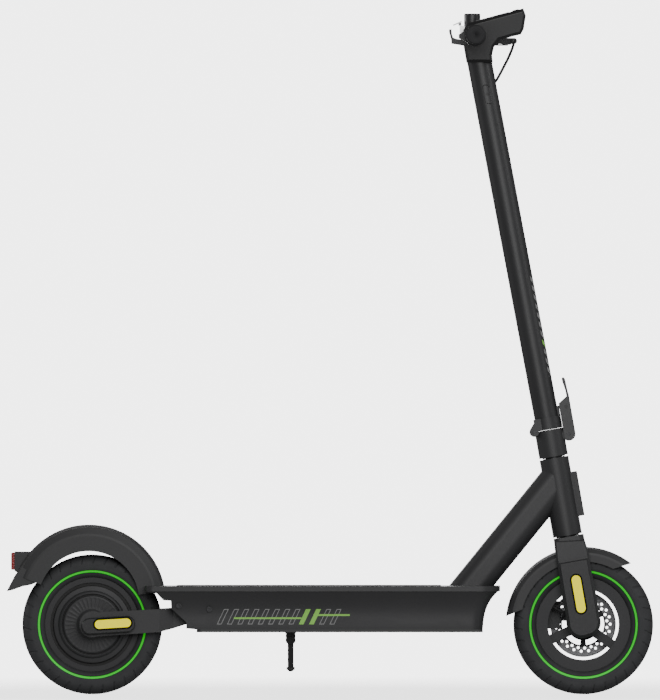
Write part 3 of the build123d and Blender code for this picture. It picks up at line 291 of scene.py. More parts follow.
def grid_piece(name, grid, body, finish, replaces=(), wrap_u=True, wrap_v=True):
    """A surface from a grid of points (u, v, 3); open ends in u are closed by a fan of faces."""
    rows, cols = grid.shape[:2]
    points = grid.reshape(-1, 3)
    u = np.arange(rows if wrap_u else rows - 1)
    v = np.arange(cols if wrap_v else cols - 1)
    uu, vv = np.meshgrid(u, v, indexing="ij")
    nu, nv = (uu + 1) % rows, (vv + 1) % cols
    quads = np.stack([uu * cols + vv, nu * cols + vv, nu * cols + nv, uu * cols + nv], -1)
    quads = quads.reshape(-1, 4)
    faces = quads.tolist()
    if not wrap_u:
        first, last = len(points), len(points) + 1
        points = np.concatenate([points, [grid[0].mean(0)], [grid[-1].mean(0)]])
        ring = np.arange(cols)
        after = (ring + 1) % cols
        faces += np.stack([0 * ring + first, ring, after], 1).tolist()
        base = (rows - 1) * cols
        faces += np.stack([0 * ring + last, base + after, base + ring], 1).tolist()
    a, b, c, d = (points[quads[:, k]] for k in range(4))
    volume = (a * np.cross(b, c)).sum() + (a * np.cross(c, d)).sum()
    if volume < 0:
        faces = [face[::-1] for face in faces]
    mesh = bpy.data.meshes.new(name)
    mesh.from_pydata(points.tolist(), [], faces)
    mesh.polygons.foreach_set("use_smooth", np.ones(len(mesh.polygons), bool))
    mesh.materials.append(finish.material)
    mesh.update()
    piece = bpy.data.objects.new(name, mesh)
    bpy.context.scene.collection.objects.link(piece)
    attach(piece, body)
    if replaces:
        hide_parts(*replaces)
    return piece


def turned(profile, center, steps, relief=None):
    """A closed (radius, y) outline turned about Y: x = r cos a, z = r sin a. relief(r, y, a)
    gives what to add to r and y."""
    turn = np.linspace(0, 2 * np.pi, steps, endpoint=False)[:, None]
    r = np.broadcast_to(profile[:, 0], (steps, len(profile))).copy()
    y = np.broadcast_to(profile[:, 1], (steps, len(profile))).copy()
    if relief is not None:
        more_r, more_y = relief(r, y, turn)
        r = r + more_r
        y = y + more_y
    grid = np.stack([r * np.cos(turn), y, r * np.sin(turn)], -1)
    return grid + np.asarray(center)


def tyre_profile():
    """Half the section from the crown to the bead, mirrored, then closed round the rim seat."""
    half = smooth_profile([(TYRE_R, 0.0), (TYRE_R, 0.008), (TYRE_R - 0.0016, 0.017),
                           (TYRE_R - 0.006, 0.0262), (TYRE_R - 0.0125, 0.0306),
                           (0.106, TYRE_HALF), (0.096, 0.0292), (0.0885, 0.0245),
                           (SEAT_R, 0.0205), (SEAT_R, 0.0172), (BEAD_R, 0.017)], 3)
    mirror = half[::-1] * (1, -1)
    return np.concatenate([half, mirror[:-1]])


def tread(r, y, turn):
    """Slanted slits over the shoulders: where the angle less a share of the distance from the
    crown meets a multiple of the pitch, the radius drops. Three grooves run round the crown,
    and two fine ribs stand on each sidewall."""
    out = np.clip((TYRE_R + 0.0006 - r) / 0.0165, 0, 1)
    phase = (SLITS * (turn + np.sign(y) * 0.04) - 1.6 * out) / (2 * np.pi)
    from_slit = np.abs(phase - np.round(phase)) * (2 * np.pi / SLITS) * r
    outside = np.clip((r - SLIT_REACH) / 0.002, 0, 1)
    shoulder = np.clip((np.abs(y) - 0.013) / 0.001, 0, 1) * outside
    slit = np.clip((SLIT_W - from_slit) / (SLIT_W / 2), 0, 1) * shoulder
    on_tread = np.clip((r - 0.121) / 0.002, 0, 1)
    groove = sum(np.exp(-((np.abs(y) - place) / 0.0012) ** 2) for place in GROOVE_PLACES)
    side_rib = sum(np.exp(-((r - rib_r) / 0.0007) ** 2) for rib_r in SIDE_RIB_R)
    flank = np.clip((np.abs(y) - 0.022) / 0.002, 0, 1) * (1 - outside)
    lean_in = np.clip((0.1205 - r) / 0.004, 0, 1) * slit
    return (-SLIT_DEPTH * (slit * (1 - lean_in) + groove * on_tread),
            np.sign(y) * (side_rib * flank * SIDE_RIB_H - SLIT_W * lean_in))


for node, body in BODY_OF_TYRE.items():
    hub = center_of(node)
    # Emission strength for the green line's painted glow; the emission colour is black everywhere
    # else.
    rubber = Finish(node + "_rubber", color=(0.026, 0.027, 0.029), rough=0.62, specular=0.35,
                    **{"Emission Strength": 0.45})
    radius = rubber.distance_from(hub[0], hub[2])
    line = abs(radius - GREEN_R).soft_below(GREEN_HALF, MASK_EDGE)
    dust = rubber.noise(38.0, 4.0)
    plain = rubber.mix(dust, (0.042, 0.043, 0.045), (0.066, 0.067, 0.071))
    # Painted shade: a dark green ring along each edge of the green line, where a groove's shade
    # would fall.
    painted_groove_shade = abs(radius - GREEN_R).soft_below(GREEN_HALF + 0.0011, 0.0006) - line
    edged = rubber.mix(painted_groove_shade.math("MAXIMUM", 0.0), plain, (0.004, 0.016, 0.005))
    rubber.set("Base Color", rubber.mix(line, edged, GREEN))
    # Painted light: only the green line emits, so it reads brighter than lit rubber would.
    rubber.set("Emission Color", rubber.mix(line, (0.0, 0.0, 0.0), GREEN_PAINTED_GLOW))
    rubber.set("Roughness", 0.72 - line * 0.25 - dust * 0.12)
    fine = rubber.noise(1500.0, 3.0)
    rings = (radius * 2600.0).math("SINE") * 0.25
    rubber.bump(fine + rings, 0.00012, 0.5)
    grid = turned(tyre_profile(), hub, TYRE_STEPS, tread)
    grid_piece(node + "_body", grid, body, rubber, replaces=(node,))

# ---- rims, hub motor and brake disc
# Cast aluminium rims in matte black. The rear one is a hub motor with stepped, ribbed side
# covers. The front one has three spokes and carries a drilled steel disc on its left side.
# Near black used for the painted shade rings on the motor shell and covers, and as the reflector
# bezels' own colour.
SHADE_AND_BEZEL_BLACK = (0.003, 0.003, 0.003)
rear_hub = center_of("rear_tyre")
cast_black = Finish("cast_black", rough=0.48, specular=0.45)
grain = cast_black.noise(620.0, 3.0)
cloud = cast_black.noise(9.0, 3.0)
cast_plain = cast_black.mix(cloud, (0.028, 0.028, 0.030), (0.042, 0.042, 0.045))
hub_r = cast_black.distance_from(rear_hub[0], rear_hub[2])
# Painted shade: a near-black ring on the motor shell where the tyre's bead meets the rim.
bead_gap_shade = abs(hub_r - 0.0737).soft_below(0.0027, 0.0006)
cast_black.set("Base Color", cast_black.mix(bead_gap_shade, cast_plain, SHADE_AND_BEZEL_BLACK))
cast_black.set("Roughness", 0.42 + cloud * 0.16)
cast_black.bump(grain, 0.00010, 0.55)
dress(["front_rim", "motor_shell"], cast_black)

MOTOR_RIBS = 36
MOTOR_RIB_H = 0.00022
DISH_R = (0.031, 0.049)
motor_black = Finish("motor_black", rough=0.45, specular=0.45)
motor_cloud = motor_black.noise(14.0, 3.0)
motor_plain = motor_black.mix(motor_cloud, (0.030, 0.030, 0.032), (0.048, 0.048, 0.051))
cover_r = motor_black.distance_from(rear_hub[0], rear_hub[2])
# Painted shade: a thin near-black ring in the cover's groove and a near-black band round its outer
# edge, at the gap to the shell.
groove_shade = abs(cover_r - 0.0542).soft_below(0.0010, MASK_EDGE)
rim_gap_shade = cover_r > 0.0697
painted_shade_rings = (groove_shade + rim_gap_shade).math("MINIMUM", 1.0)
motor_black.set("Base Color", motor_black.mix(painted_shade_rings, motor_plain, SHADE_AND_BEZEL_BLACK))
motor_black.set("Roughness", 0.38 + motor_cloud * 0.2)
motor_black.bump(motor_black.noise(700.0, 3.0), 0.00009, 0.5)


def ribs(r, y, turn):
    """Shallow spaces between low radial ribs round the cover's middle dish."""
    wave = np.clip((np.cos(MOTOR_RIBS * turn) - 0.2) / 0.3, 0, 1)
    dish = np.clip((r - DISH_R[0]) / 0.001, 0, 1) * np.clip((DISH_R[1] - r) / 0.001, 0, 1)
    front = np.abs(y) > 0.019
    return 0 * r, -np.sign(y) * front * MOTOR_RIB_H * (1 - wave) * dish


# One cover's section from the bore outwards and back, as (radius, distance from the middle).
cover_line = [(0.007, 0.0170), (0.040, 0.0131), (0.0710, 0.0131), (0.0710, 0.0198),
              (0.0695, 0.0203), (0.0660, 0.0207), (0.0615, 0.0212), (0.0602, 0.0236),
              (0.0562, 0.0252), (0.0552, 0.0231), (0.0532, 0.0231), (0.0522, 0.0252),
              (0.0500, 0.0258), (0.0400, 0.0259), (0.0285, 0.0260), (0.0270, 0.0270),
              (0.0240, 0.0288), (0.0200, 0.0290), (0.0110, 0.0290), (0.0100, 0.0285),
              (0.0100, 0.0252), (0.0070, 0.0250)]
COVER_POINT_GAP = 0.0009
COVER_STEPS = 432
dense = []
for start, end in zip(cover_line, cover_line[1:] + cover_line[:1]):
    steps = max(2, int(np.hypot(end[0] - start[0], end[1] - start[1]) / COVER_POINT_GAP))
    dense.append(np.linspace(start, end, steps, endpoint=False))
cover_profile = np.concatenate(dense)
for side, label in ((-1, "right"), (1, "left")):
    grid = turned(cover_profile * (1, side), rear_hub, COVER_STEPS, ribs)
    grid_piece("motor_cover_" + label, grid, "rear_wheel", motor_black,
               replaces=("motor_covers",))

VALVE_R = 0.0031
VALVE_TURN = np.radians(150.0)
VALVE_SEAT_R = 0.0652
valve_line = np.array([(0.0004, 0.0), (VALVE_R, 0.0), (VALVE_R, 0.0100), (0.0024, 0.0104),
                       (0.0024, 0.0112), (0.0034, 0.0116), (0.0034, 0.0196), (0.0024, 0.0212),
                       (0.0004, 0.0214)])


def knob(profile, place, direction, steps=32):
    """A (radius, height) outline turned about a line through place along direction."""
    up = Vector(direction).normalized()
    side = up.orthogonal().normalized()
    other = up.cross(side)
    turn = np.linspace(0, 2 * np.pi, steps, endpoint=False)
    circle = np.cos(turn)[:, None] * np.array(side) + np.sin(turn)[:, None] * np.array(other)
    grid = profile[:, 0][None, :, None] * circle[:, None, :]
    return grid + profile[:, 1][None, :, None] * np.array(up) + np.array(place)


def open_profile_piece(name, grids, body, finish):
    """Several turned outlines in one mesh; a flat face closes each of their two ends."""
    points = []
    faces = []
    for grid in grids:
        steps, count = grid.shape[:2]
        base = len(points)
        points.extend(grid.reshape(-1, 3).tolist())
        for k in range(count - 1):
            ring = np.arange(steps)
            after = (ring + 1) % steps
            quads = np.stack([ring * count + k, ring * count + k + 1, after * count + k + 1,
                              after * count + k], 1) + base
            faces.extend(quads.tolist())
        faces.append((base + np.arange(steps) * count).tolist())
        faces.append((base + np.arange(steps)[::-1] * count + count - 1).tolist())
    mesh = bpy.data.meshes.new(name)
    mesh.from_pydata(points, [], faces)
    tidy = bmesh.new()
    tidy.from_mesh(mesh)
    bmesh.ops.recalc_face_normals(tidy, faces=tidy.faces)
    tidy.to_mesh(mesh)
    tidy.free()
    mesh.polygons.foreach_set("use_smooth", np.ones(len(mesh.polygons), bool))
    mesh.materials.append(finish.material)
    mesh.set_sharp_from_angle(angle=np.radians(35))
    piece = bpy.data.objects.new(name, mesh)
    bpy.context.scene.collection.objects.link(piece)
    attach(piece, body)
    return piece


cap_black = Finish("cap_black", rough=0.55, specular=0.4)
cap_speck = cap_black.noise(300.0)
cap_black.set("Base Color", cap_black.mix(cap_speck, (0.02, 0.02, 0.021), (0.035, 0.035, 0.036)))
front_hub = center_of("front_tyre")
toward = np.array([np.cos(VALVE_TURN), 0.0, np.sin(VALVE_TURN)])
valve = knob(valve_line, front_hub + VALVE_SEAT_R * toward, -toward)
open_profile_piece("front_valve", [valve], "front_wheel", cap_black)

BOLT_CIRCLE_R = 0.0245
BOLT_COUNT = 6
BOLT_SEAT_Y = 0.0350            # the brake disc's outer face
bolt_line = np.array([(0.0004, -0.0012), (0.0033, -0.0012), (0.0033, 0.0014), (0.0028, 0.0020),
                      (0.0017, 0.0020), (0.0017, 0.0008), (0.0004, 0.0008)])
bolts = []
for step in range(BOLT_COUNT):
    around = np.radians(30 + step * 360 / BOLT_COUNT)
    spot = front_hub + (BOLT_CIRCLE_R * np.cos(around), BOLT_SEAT_Y, BOLT_CIRCLE_R * np.sin(around))
    bolts.append(knob(bolt_line, spot, (0, 1, 0), 20))
rotor_bolt = Finish("rotor_bolt", color=(0.35, 0.35, 0.36), rough=0.3, metal=1.0)
rotor_bolt.set("Roughness", 0.24 + rotor_bolt.noise(400.0) * 0.2)
open_profile_piece("rotor_bolts", bolts, "front_wheel", rotor_bolt)

disc_steel = Finish("disc_steel", color=(0.10, 0.10, 0.105), rough=0.34, metal=1.0)
disc_r = disc_steel.distance_from(front_hub[0], front_hub[2])
swept = abs(disc_r - 0.0500).soft_below(0.0085, 0.001)
disc_steel.set("Base Color", disc_steel.mix(swept, (0.05, 0.05, 0.052), (0.15, 0.15, 0.155)))
disc_steel.set("Roughness", 0.5 - swept * 0.18 + disc_steel.noise(90.0) * 0.08)
disc_steel.bump((disc_r * 9000.0).math("SINE"), 0.00003, 0.6)
dress(["brake_rotor"], disc_steel)

# ---- painted frame
# Welded aluminium tubes and castings under satin black powder coat, with its fine orange peel.
# The latch, the stand's leg and the bell have marks of their own over the same coat.


def powder_coat(name, dark, light, rough):
    """Powder coat: cloudy black, fine peel, and roughness that varies in soft clouds and fine
    specks.
    """
    coat = Finish(name, rough=rough, specular=0.5)
    cloud = coat.noise(6.0, 3.0)
    speck = coat.noise(260.0, 2.0)
    coat.plain = coat.mix(cloud, dark, light)
    coat.set("Base Color", coat.plain)
    coat.set("Roughness", (rough - 0.06) + cloud * 0.08 + speck * 0.06)
    coat.bump(coat.noise(950.0, 2.0) + speck * 0.6, 0.00009, 0.45)
    return coat


PAINT_DARK = (0.033, 0.033, 0.035)
PAINT_LIGHT = (0.046, 0.046, 0.048)
frame_coat = powder_coat("frame_coat", PAINT_DARK, PAINT_LIGHT, 0.44)
dress(["down_tube", "head_tube", "swingarm", "front_fork", "fold_base", "stem_collar",
       "kickstand_bracket", "handlebar", "brake_lever", "brake_caliper"], frame_coat)

# The latch's two pin heads show as dark rings on its cheeks.
latch_coat = powder_coat("latch_coat", PAINT_DARK, PAINT_LIGHT, 0.40)
PIN_SPOTS = ((0.43578, 0.47488), (0.43076, 0.52529))
PIN_R = 0.0032
pin_mask = None
for pin_x, pin_z in PIN_SPOTS:
    near_pin = latch_coat.distance_from(pin_x, pin_z).soft_below(PIN_R, MASK_EDGE)
    pin_mask = near_pin if pin_mask is None else (pin_mask + near_pin)
latch_coat.set("Base Color", latch_coat.mix(pin_mask, latch_coat.plain, (0.008, 0.008, 0.008)))
dress(["latch_lever"], latch_coat)

# The stand's leg ends in a rubber foot, and the bell's clamp shows a bright spring.
leg_coat = powder_coat("leg_coat", PAINT_DARK, PAINT_LIGHT, 0.42)
FOOT_TOP = 0.0482
foot = leg_coat.z.soft_below(FOOT_TOP, 0.0004)
leg_coat.set("Base Color", leg_coat.mix(foot, leg_coat.plain, (0.014, 0.014, 0.014)))
dress(["kickstand_leg"], leg_coat)
bell_coat = Finish("bell_coat", rough=0.3)
BELL_TAIL_X = 0.2474
bell_tail = bell_coat.x.soft_below(BELL_TAIL_X, 0.0004)
bell_speck = bell_coat.noise(90.0, 3.0)
bell_plain = bell_coat.mix(bell_speck, (0.030, 0.030, 0.032), (0.040, 0.040, 0.042))
bell_coat.set("Base Color", bell_coat.mix(bell_tail, bell_plain, (0.62, 0.62, 0.62)))
bell_coat.set("Metallic", bell_tail)
bell_coat.set("Roughness", 0.34 - bell_tail * 0.1 + bell_coat.noise(500.0) * 0.05)
dress(["bell_body"], bell_coat)
under_coat = powder_coat("bottom_cover_coat", (0.040, 0.040, 0.042), (0.056, 0.056, 0.058), 0.5)
dress(["bottom_cover"], under_coat)

# ---- deck
# The flared aluminium tray. Its sides carry a printed row of slanted outlined bars with a thin
# green line through them; two of the bars are solid green.
deck_coat = powder_coat("deck_coat", (0.036, 0.036, 0.038), (0.048, 0.048, 0.050), 0.44)
BAR_START = -0.2064
BAR_PITCH = 0.01867
BAR_W = 0.0087
BAR_EDGE = 0.0013
BAR_LOW = 0.1283
BAR_HIGH = 0.1562
BAR_SLANT = 0.475
BAR_COUNT = 12
SOLID_BARS = (8, 9)
REAR_LINE_Z = (0.1380, 0.1412)
REAR_LINE_X = (-0.175, -0.052)
FRONT_LINE_Z = (0.1436, 0.1470)
FRONT_LINE_X = (-0.030, 0.036)
SIDE_Y = 0.066
PRINT_GREY = (0.34, 0.34, 0.34)
PRINT_GREEN = (0.34, 0.80, 0.12)


def within(value, start, end, soft=0.0004):
    """1 between start and end."""
    return (value * -1.0).soft_below(-start, soft) * value.soft_below(end, soft)


def side_print(coat):
    """Base colour of the deck's sides: bars on a slanted lattice, then the green lines."""
    along = coat.x - BAR_SLANT * (coat.z - BAR_LOW) - BAR_START
    cell = along.math("MODULO", BAR_PITCH)
    index = (along / BAR_PITCH).math("FLOOR")
    band = within(coat.z, BAR_LOW, BAR_HIGH) * within(along, 0.0, BAR_COUNT * BAR_PITCH)
    bar = within(cell, 0.0, BAR_W) * band
    hollow = within(cell, BAR_EDGE, BAR_W - BAR_EDGE)
    hollow = hollow * within(coat.z, BAR_LOW + BAR_EDGE, BAR_HIGH - BAR_EDGE)
    solid = within(index, SOLID_BARS[0] - 0.5, SOLID_BARS[1] + 0.5, 0.01)
    outline = bar * (1.0 - hollow) * (1.0 - solid)
    line = within(coat.z, *REAR_LINE_Z) * within(coat.x, *REAR_LINE_X)
    line = line + within(coat.z, *FRONT_LINE_Z) * within(coat.x, *FRONT_LINE_X)
    sides = abs(coat.y) > SIDE_Y
    green = (line + bar * solid).math("MINIMUM", 1.0) * sides
    return outline * sides, green


grey_mask, green_mask = side_print(deck_coat)
deck_printed = deck_coat.mix(grey_mask, deck_coat.plain, PRINT_GREY)
deck_coat.set("Base Color", deck_coat.mix(green_mask, deck_printed, PRINT_GREEN))
dress(["deck_frame"], deck_coat)

# The mat is black rubber glued into a recess, with rounded ribs that run along the deck.
mat_rubber = Finish("mat_rubber", rough=0.75, specular=0.3)
mat_dust = mat_rubber.noise(25.0, 4.0)
mat_rubber.set("Base Color", mat_rubber.mix(mat_dust, (0.018, 0.018, 0.019), (0.034, 0.034, 0.035)))
mat_rubber.set("Roughness", 0.66 + mat_dust * 0.16)
mat_rubber.bump(mat_rubber.noise(1300.0, 3.0), 0.0001, 0.6)
MAT_RIB_PITCH = 0.0060
MAT_RIB_H = 0.0009
MAT_EDGE_DROP = 0.0007
mat_low, mat_high = (np.array(corner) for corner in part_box("deck_mat"))
across = np.linspace(mat_low[1], mat_high[1], 400)
from_edge = np.minimum(across - mat_low[1], mat_high[1] - across)
rib = 0.5 + 0.5 * np.cos(2 * np.pi * across / MAT_RIB_PITCH)
plain_border = np.clip((from_edge - 0.005) / 0.002, 0, 1)
top = mat_high[2] - MAT_RIB_H * plain_border * (1 - np.clip(rib * 2.2 - 0.5, 0, 1))
rounding = MAT_EDGE_DROP * np.exp(-from_edge / 0.0006)
top = top - rounding
bottom = np.full(2, mat_low[2])
section_y = np.concatenate([across, [mat_high[1], mat_low[1]]])
section_z = np.concatenate([top, bottom])
along = np.array([mat_low[0], mat_low[0] + 0.0008, mat_low[0] + 0.006, mat_low[0] + 0.008,
                  mat_high[0] - 0.008, mat_high[0] - 0.006, mat_high[0] - 0.0008, mat_high[0]])
flat_z = np.concatenate([mat_high[2] - rounding, bottom])
ribbed = np.array([0, 0, 0, 1, 1, 0, 0, 0])[:, None]
edge_drop = np.array([MAT_EDGE_DROP, 0, 0, 0, 0, 0, 0, MAT_EDGE_DROP])[:, None]
edge_drop = edge_drop * (section_z > mat_low[2] + 0.0001)
mat_z = ribbed * section_z + (1 - ribbed) * flat_z - edge_drop
mat_grid = np.stack([np.broadcast_to(along[:, None], mat_z.shape),
                     np.broadcast_to(section_y, mat_z.shape), mat_z], -1)
grid_piece("ribbed_mat", mat_grid, "frame", mat_rubber, replaces=("deck_mat",),
           wrap_u=False)

# ---- moulded plastic
# Fenders, covers, dash housing and clips are injection moulded in fine-grained black nylon.
# The dash's lid meets its shell in a dark seam that runs along the sloping top, and a painted
# highlight runs along the lip just below it.


def moulded(name, dark, light, rough, grain_scale=1400.0):
    """Moulded plastic: even colour, spark-eroded grain from a fine noise."""
    plastic = Finish(name, rough=rough, specular=0.45)
    cloud = plastic.noise(8.0, 2.0)
    plastic.plain = plastic.mix(cloud, dark, light)
    plastic.set("Base Color", plastic.plain)
    plastic.set("Roughness", (rough - 0.04) + cloud * 0.08)
    plastic.bump(plastic.noise(grain_scale, 3.0), 0.0001, 0.5)
    return plastic


fender_plastic = moulded("fender_plastic", (0.044, 0.044, 0.045), (0.054, 0.054, 0.056), 0.5)
dress(["rear_fender", "front_fender"], fender_plastic)
trim_plastic = moulded("trim_plastic", (0.024, 0.024, 0.026), (0.033, 0.033, 0.035), 0.42)
dress(["rear_arm_covers", "fork_covers", "throttle_clamp", "throttle_paddle", "head_badge",
       "fold_hook", "charge_socket", "brake_lever_mount", "power_button"], trim_plastic)
DASH_REAR = (0.2515, 1.2242)
DASH_FRONT = (0.3526, 1.2514)
dash_slope = (DASH_FRONT[1] - DASH_REAR[1]) / (DASH_FRONT[0] - DASH_REAR[0])
SEAM_DEPTH = 0.0052             # how far the seam runs under the dash's sloping top
dash_plastic = moulded("dash_plastic", (0.015, 0.015, 0.016), (0.022, 0.022, 0.023), 0.5)
below_top = (dash_plastic.x - DASH_REAR[0]) * dash_slope + DASH_REAR[1] - dash_plastic.z
seam = abs(below_top - SEAM_DEPTH).soft_below(0.0006, 0.0004)
# Painted highlight: a light grey band along the lid's lip, just below the seam.
lip_painted_highlight = within(below_top, 0.0058, 0.0070) * 0.5
seamed = dash_plastic.mix(seam, dash_plastic.plain, (0.004, 0.004, 0.004))
dash_plastic.set("Base Color", dash_plastic.mix(lip_painted_highlight, seamed, (0.13, 0.13, 0.13)))
dress(["dash_housing"], dash_plastic)

soft_cap = moulded("soft_cap", (0.02, 0.02, 0.021), (0.03, 0.03, 0.031), 0.7)
dress(["charge_cap", "brake_cable"], soft_cap)

# ---- reflectors and lamps
# Yellow acrylic reflectors with a lattice of corner cubes behind a smooth face, a red tail lens
# and a clear headlight. The reflectors are given a painted glow.
# Painted light: the reflectors glow by emission, so they read bright yellow as if lit.
reflector = Finish("reflector_yellow", color=(0.80, 0.72, 0.0), rough=0.35, specular=0.12,
                   **{"Emission Color": (0.88, 0.78, 0.0, 1.0), "Emission Strength": 0.95})
facets = reflector.node("ShaderNodeTexVoronoi", {"feature": "F1"}, Vector=reflector.place,
                        Scale=420.0)
reflector.set("Base Color", reflector.mix(facets, (0.84, 0.76, 0.0), (0.62, 0.54, 0.0)))
reflector.bump(facets, 0.0003, 0.4)
dress(["front_reflectors", "rear_reflectors"], reflector)

BEZEL_W = 0.0027
BEZEL_H = 0.0011


def capsule_ring(center, size, tilt, out_y):
    """A rounded strip laid round a capsule: the capsule's outline is half circles joined by
    straight sides, and the strip's section is an arch carried along it on the face at out_y."""
    length, width = size
    end_r = width / 2
    straight = length / 2 - end_r
    turn = np.linspace(0, 2 * np.pi, 97)[:-1]
    away = np.stack([np.cos(turn), np.sin(turn)], 1)
    core = np.stack([np.where(np.cos(turn) > 0, straight, -straight), 0 * turn], 1)
    arch = np.array([(-0.0001, -0.0004), (0.0, BEZEL_H * 0.7), (BEZEL_W * 0.3, BEZEL_H),
                     (BEZEL_W * 0.7, BEZEL_H), (BEZEL_W, BEZEL_H * 0.6), (BEZEL_W, -0.0004)])
    flat = core[:, None, :] + (end_r + 0.0003 + arch[None, :, 0:1]) * away[:, None, :]
    x = center[0] + flat[..., 0] * np.cos(tilt) - flat[..., 1] * np.sin(tilt)
    z = center[1] + flat[..., 0] * np.sin(tilt) + flat[..., 1] * np.cos(tilt)
    side = np.sign(out_y)
    y = out_y + side * np.broadcast_to(arch[None, :, 1], x.shape)
    return np.stack([x, y, z], -1)


bezel_black = Finish("bezel_black", rough=0.7, specular=0.12)
bezel_cloud = bezel_black.noise(60.0)
bezel_black.set("Base Color", bezel_black.mix(bezel_cloud, SHADE_AND_BEZEL_BLACK, (0.007, 0.007, 0.007)))
for node, body, size, tilt in (("rear_reflectors", "swingarm", (0.066, 0.016), np.radians(3.5)),
                               ("front_reflectors", "fork", (0.069, 0.0166), np.radians(100.0))):
    spot = center_of(node)
    face_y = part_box(node)[1][1] - 0.002
    for side, label in ((-1, "right"), (1, "left")):
        ring = capsule_ring((spot[0], spot[2]), size, tilt, side * face_y)
        grid_piece(node.replace("reflectors", "bezel_") + label, ring, body, bezel_black)
tail = Finish("tail_red", color=(0.42, 0.012, 0.012), rough=0.16, coat=0.5)
ridges = (tail.z * 2100.0).math("SINE")
tail.set("Base Color", tail.mix(ridges * 0.5 + 0.5, (0.50, 0.015, 0.015), (0.28, 0.006, 0.006)))
tail.bump(ridges, 0.0003, 0.5)
dress(["tail_light_lens"], tail)
lamp = Finish("headlight_clear", color=(0.75, 0.78, 0.80), rough=0.08, coat=0.5)
flutes = (lamp.y * 1600.0).math("SINE")
lamp.set("Base Color", lamp.mix(flutes * 0.5 + 0.5, (0.80, 0.83, 0.85), (0.45, 0.47, 0.49)))
lamp.bump(flutes, 0.0003, 0.4)
dress(["headlight_lens"], lamp)
DARK_GLASS = (0.006, 0.006, 0.007)
CHARGE_PITCH = 0.005
CHARGE_HALF = 0.0122
CHARGE_X = (0.2830, 0.2856)
display = Finish("display_window", color=DARK_GLASS, rough=0.16, coat=0.2, specular=0.35)
bar_cell = (display.y + 2.5 * CHARGE_PITCH).math("MODULO", CHARGE_PITCH)
charge = within(bar_cell, 0.0006, 0.0044) * within(display.y, -CHARGE_HALF, CHARGE_HALF)
charge = charge * within(display.x, *CHARGE_X)
ring_x = display.x - 0.3020
ring_r = (ring_x * ring_x + display.y * display.y).math("SQRT")
dial = abs(ring_r - 0.0100).soft_below(0.0006, 0.0004) * (display.x > 0.2975)
lit = (charge + dial).math("MINIMUM", 1.0)
display.set("Base Color", display.mix(lit, DARK_GLASS, (0.10, 0.14, 0.11)))
dress(["dash_display"], display)

# ---- bright metal
# Zinc-plated steel axles, bearings and spring, and the bell's striker.
# Screws, nuts and hinge pins are steel blackened in an oxide bath.
steel = Finish("plated_steel", color=(0.42, 0.42, 0.43), rough=0.32, metal=1.0)
scratch = steel.noise(240.0, 5.0)
steel.set("Roughness", 0.24 + scratch * 0.22)
steel.set("Base Color", steel.mix(scratch, (0.50, 0.50, 0.51), (0.34, 0.34, 0.35)))
steel.bump(steel.noise(1800.0, 2.0), 0.00003, 0.4)
dress(["front_axle", "rear_axle", "front_bearings", "rear_bearings", "suspension_spring",
       "bell_lever"], steel)
dark_steel = Finish("black_oxide", color=(0.05, 0.05, 0.052), rough=0.36, metal=1.0)
oxide = dark_steel.noise(120.0, 4.0)
dark_steel.set("Roughness", 0.3 + oxide * 0.2)
dark_steel.set("Base Color", dark_steel.mix(oxide, (0.06, 0.06, 0.062), (0.035, 0.035, 0.037)))
dress(["side_bolts", "frame_screws", "hinge_pins", "headset_bearings", "front_axle_nuts",
       "rear_axle_nuts", "steerer_tube", "motor_stator", "brake_pads"], dark_steel)

# ---- inner boxes
# The battery pack in blue shrink wrap and the controller's cast aluminium case. Both stand
# inside the deck and show only when it is opened.
wrap = Finish("battery_wrap", color=(0.02, 0.05, 0.12), rough=0.4)
wrap.set("Roughness", 0.34 + wrap.noise(40.0) * 0.2)
dress(["battery_pack"], wrap)
case = Finish("controller_case", color=(0.3, 0.3, 0.31), rough=0.45, metal=1.0)
case.set("Roughness", 0.38 + case.noise(60.0) * 0.2)
dress(["motor_controller"], case)

# ---- stem
# A straight aluminium tube in the frame's powder coat. Its front carries a printed column of
# short slanted bars, grey with one green block.
stem_coat = powder_coat("stem_coat", (0.030, 0.030, 0.032), (0.042, 0.042, 0.044), 0.42)
STEM_PRINT = (0.580, 0.765)
stem_lean = 0.1888
stem_axis_x = 0.3996 - stem_lean * (stem_coat.z - 0.4825)
forward = stem_coat.x - stem_axis_x
slant = stem_coat.z + stem_coat.y * 0.9
stem_cell = slant.math("MODULO", 0.0165)
stem_bar = within(stem_cell, 0.0, 0.0085) * within(stem_coat.z, *STEM_PRINT)
front_face = (forward > 0.0145) * (abs(stem_coat.y) < 0.0135)
stem_bar = stem_bar * front_face
stem_green = within(stem_coat.z, 0.632, 0.650)
stem_ink = stem_coat.mix(stem_green, PRINT_GREY, PRINT_GREEN)
OVAL_Z = (1.0835, 1.1055)
OVAL_R = 0.0062
stem_side = stem_coat.y.math("ABSOLUTE") > 0.014
reach_up = abs(stem_coat.z - (OVAL_Z[0] + OVAL_Z[1]) / 2) - (OVAL_Z[1] - OVAL_Z[0]) / 2
reach_up = reach_up.math("MAXIMUM", 0.0)
across_oval = forward - 0.0030
from_core = (reach_up * reach_up + across_oval * across_oval).math("SQRT")
oval_rim = abs(from_core - OVAL_R).soft_below(0.0007, 0.0005) * stem_side
screw_z = stem_coat.z - (OVAL_Z[0] + OVAL_Z[1]) / 2
from_screw = (screw_z * screw_z + across_oval * across_oval).math("SQRT")
screw_dark = from_screw.soft_below(0.0029, 0.0007) * stem_side
marks = (oval_rim * 0.75 + screw_dark).math("MINIMUM", 1.0)
stem_printed = stem_coat.mix(stem_bar, stem_coat.plain, stem_ink)
stem_coat.set("Base Color", stem_coat.mix(marks, stem_printed, (0.004, 0.004, 0.004)))
relief = from_core.soft_below(OVAL_R, 0.0012) * stem_side * -1.0
stem_peel = stem_coat.noise(950.0, 2.0) * 0.09
stem_coat.bump(relief + stem_peel, 0.0010, 0.6)
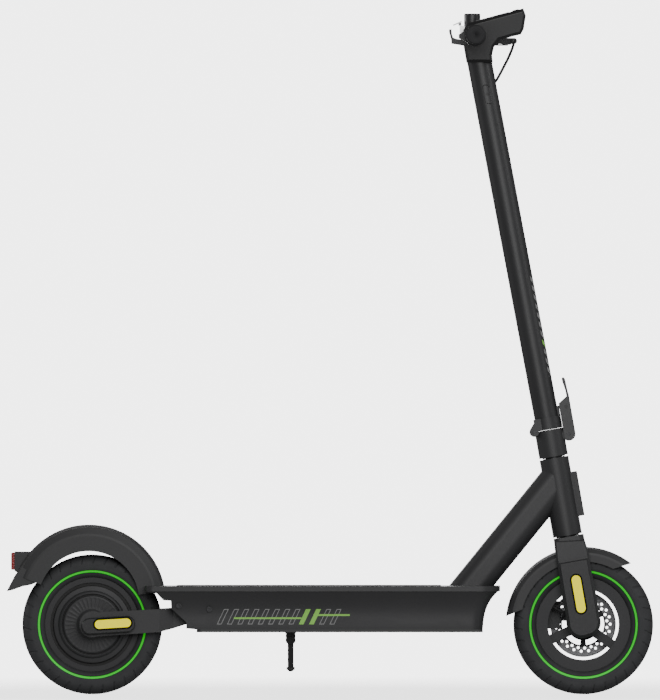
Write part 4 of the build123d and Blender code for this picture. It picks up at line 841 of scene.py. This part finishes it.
dress(["stem_tube"], stem_coat)

# ---- grips
# Slip-on rubber sleeves with raised rings, pushed over the handlebar's ends. Each has a flange
# at its inner end and a closed, rounded outer end.
grip_rubber = Finish("grip_rubber", rough=0.7, specular=0.35)
grip_cloud = grip_rubber.noise(30.0, 3.0)
grip_rubber.set("Base Color",
                grip_rubber.mix(grip_cloud, (0.022, 0.022, 0.024), (0.034, 0.034, 0.036)))
grip_rubber.bump(grip_rubber.noise(1500.0, 3.0), 0.0001, 0.6)
GRIP_R = 0.0175
GRIP_FLANGE_R = 0.0195
GRIP_BORE_R = 0.0125
GRIP_L = 0.118
GRIP_CORNER_R = 0.003
GRIP_END_T = 0.0019
grip_low, grip_high = (np.array(corner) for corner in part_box("grips"))
bar_axis = (grip_low + grip_high) / 2
RING_PITCH = 0.0042
ring_run = np.linspace(0.006, GRIP_L - 0.004, 240)
ring_r = GRIP_R - 0.0008 * (0.5 - 0.5 * np.cos(2 * np.pi * ring_run / RING_PITCH)) ** 2
inner_end = np.array([(GRIP_BORE_R, 0.0), (GRIP_FLANGE_R - 0.0008, 0.0), (GRIP_FLANGE_R, 0.0008),
                      (GRIP_FLANGE_R, 0.0034), (GRIP_FLANGE_R - 0.0006, 0.0042), (GRIP_R, 0.0050)])
curve = np.linspace(0, np.pi / 2, 8)
outer_end = np.stack([GRIP_R - GRIP_CORNER_R * (1 - np.cos(curve)),
                      GRIP_L - GRIP_CORNER_R * (1 - np.sin(curve))], 1)
closing = np.array([(0.010, GRIP_L), (0.0004, GRIP_L), (0.0004, GRIP_L - GRIP_END_T),
                    (GRIP_BORE_R, GRIP_L - GRIP_END_T)])
grip_profile = np.concatenate([inner_end, np.stack([ring_r, ring_run], 1), outer_end, closing])
for side, label in ((-1, "right"), (1, "left")):
    line = grip_profile * (1, side) + (0, side * (grip_high[1] - GRIP_L))
    grid = turned(line, (bar_axis[0], 0.0, bar_axis[2]), 96)
    grid_piece("grip_" + label, grid, "stem", grip_rubber, replaces=("grips",))
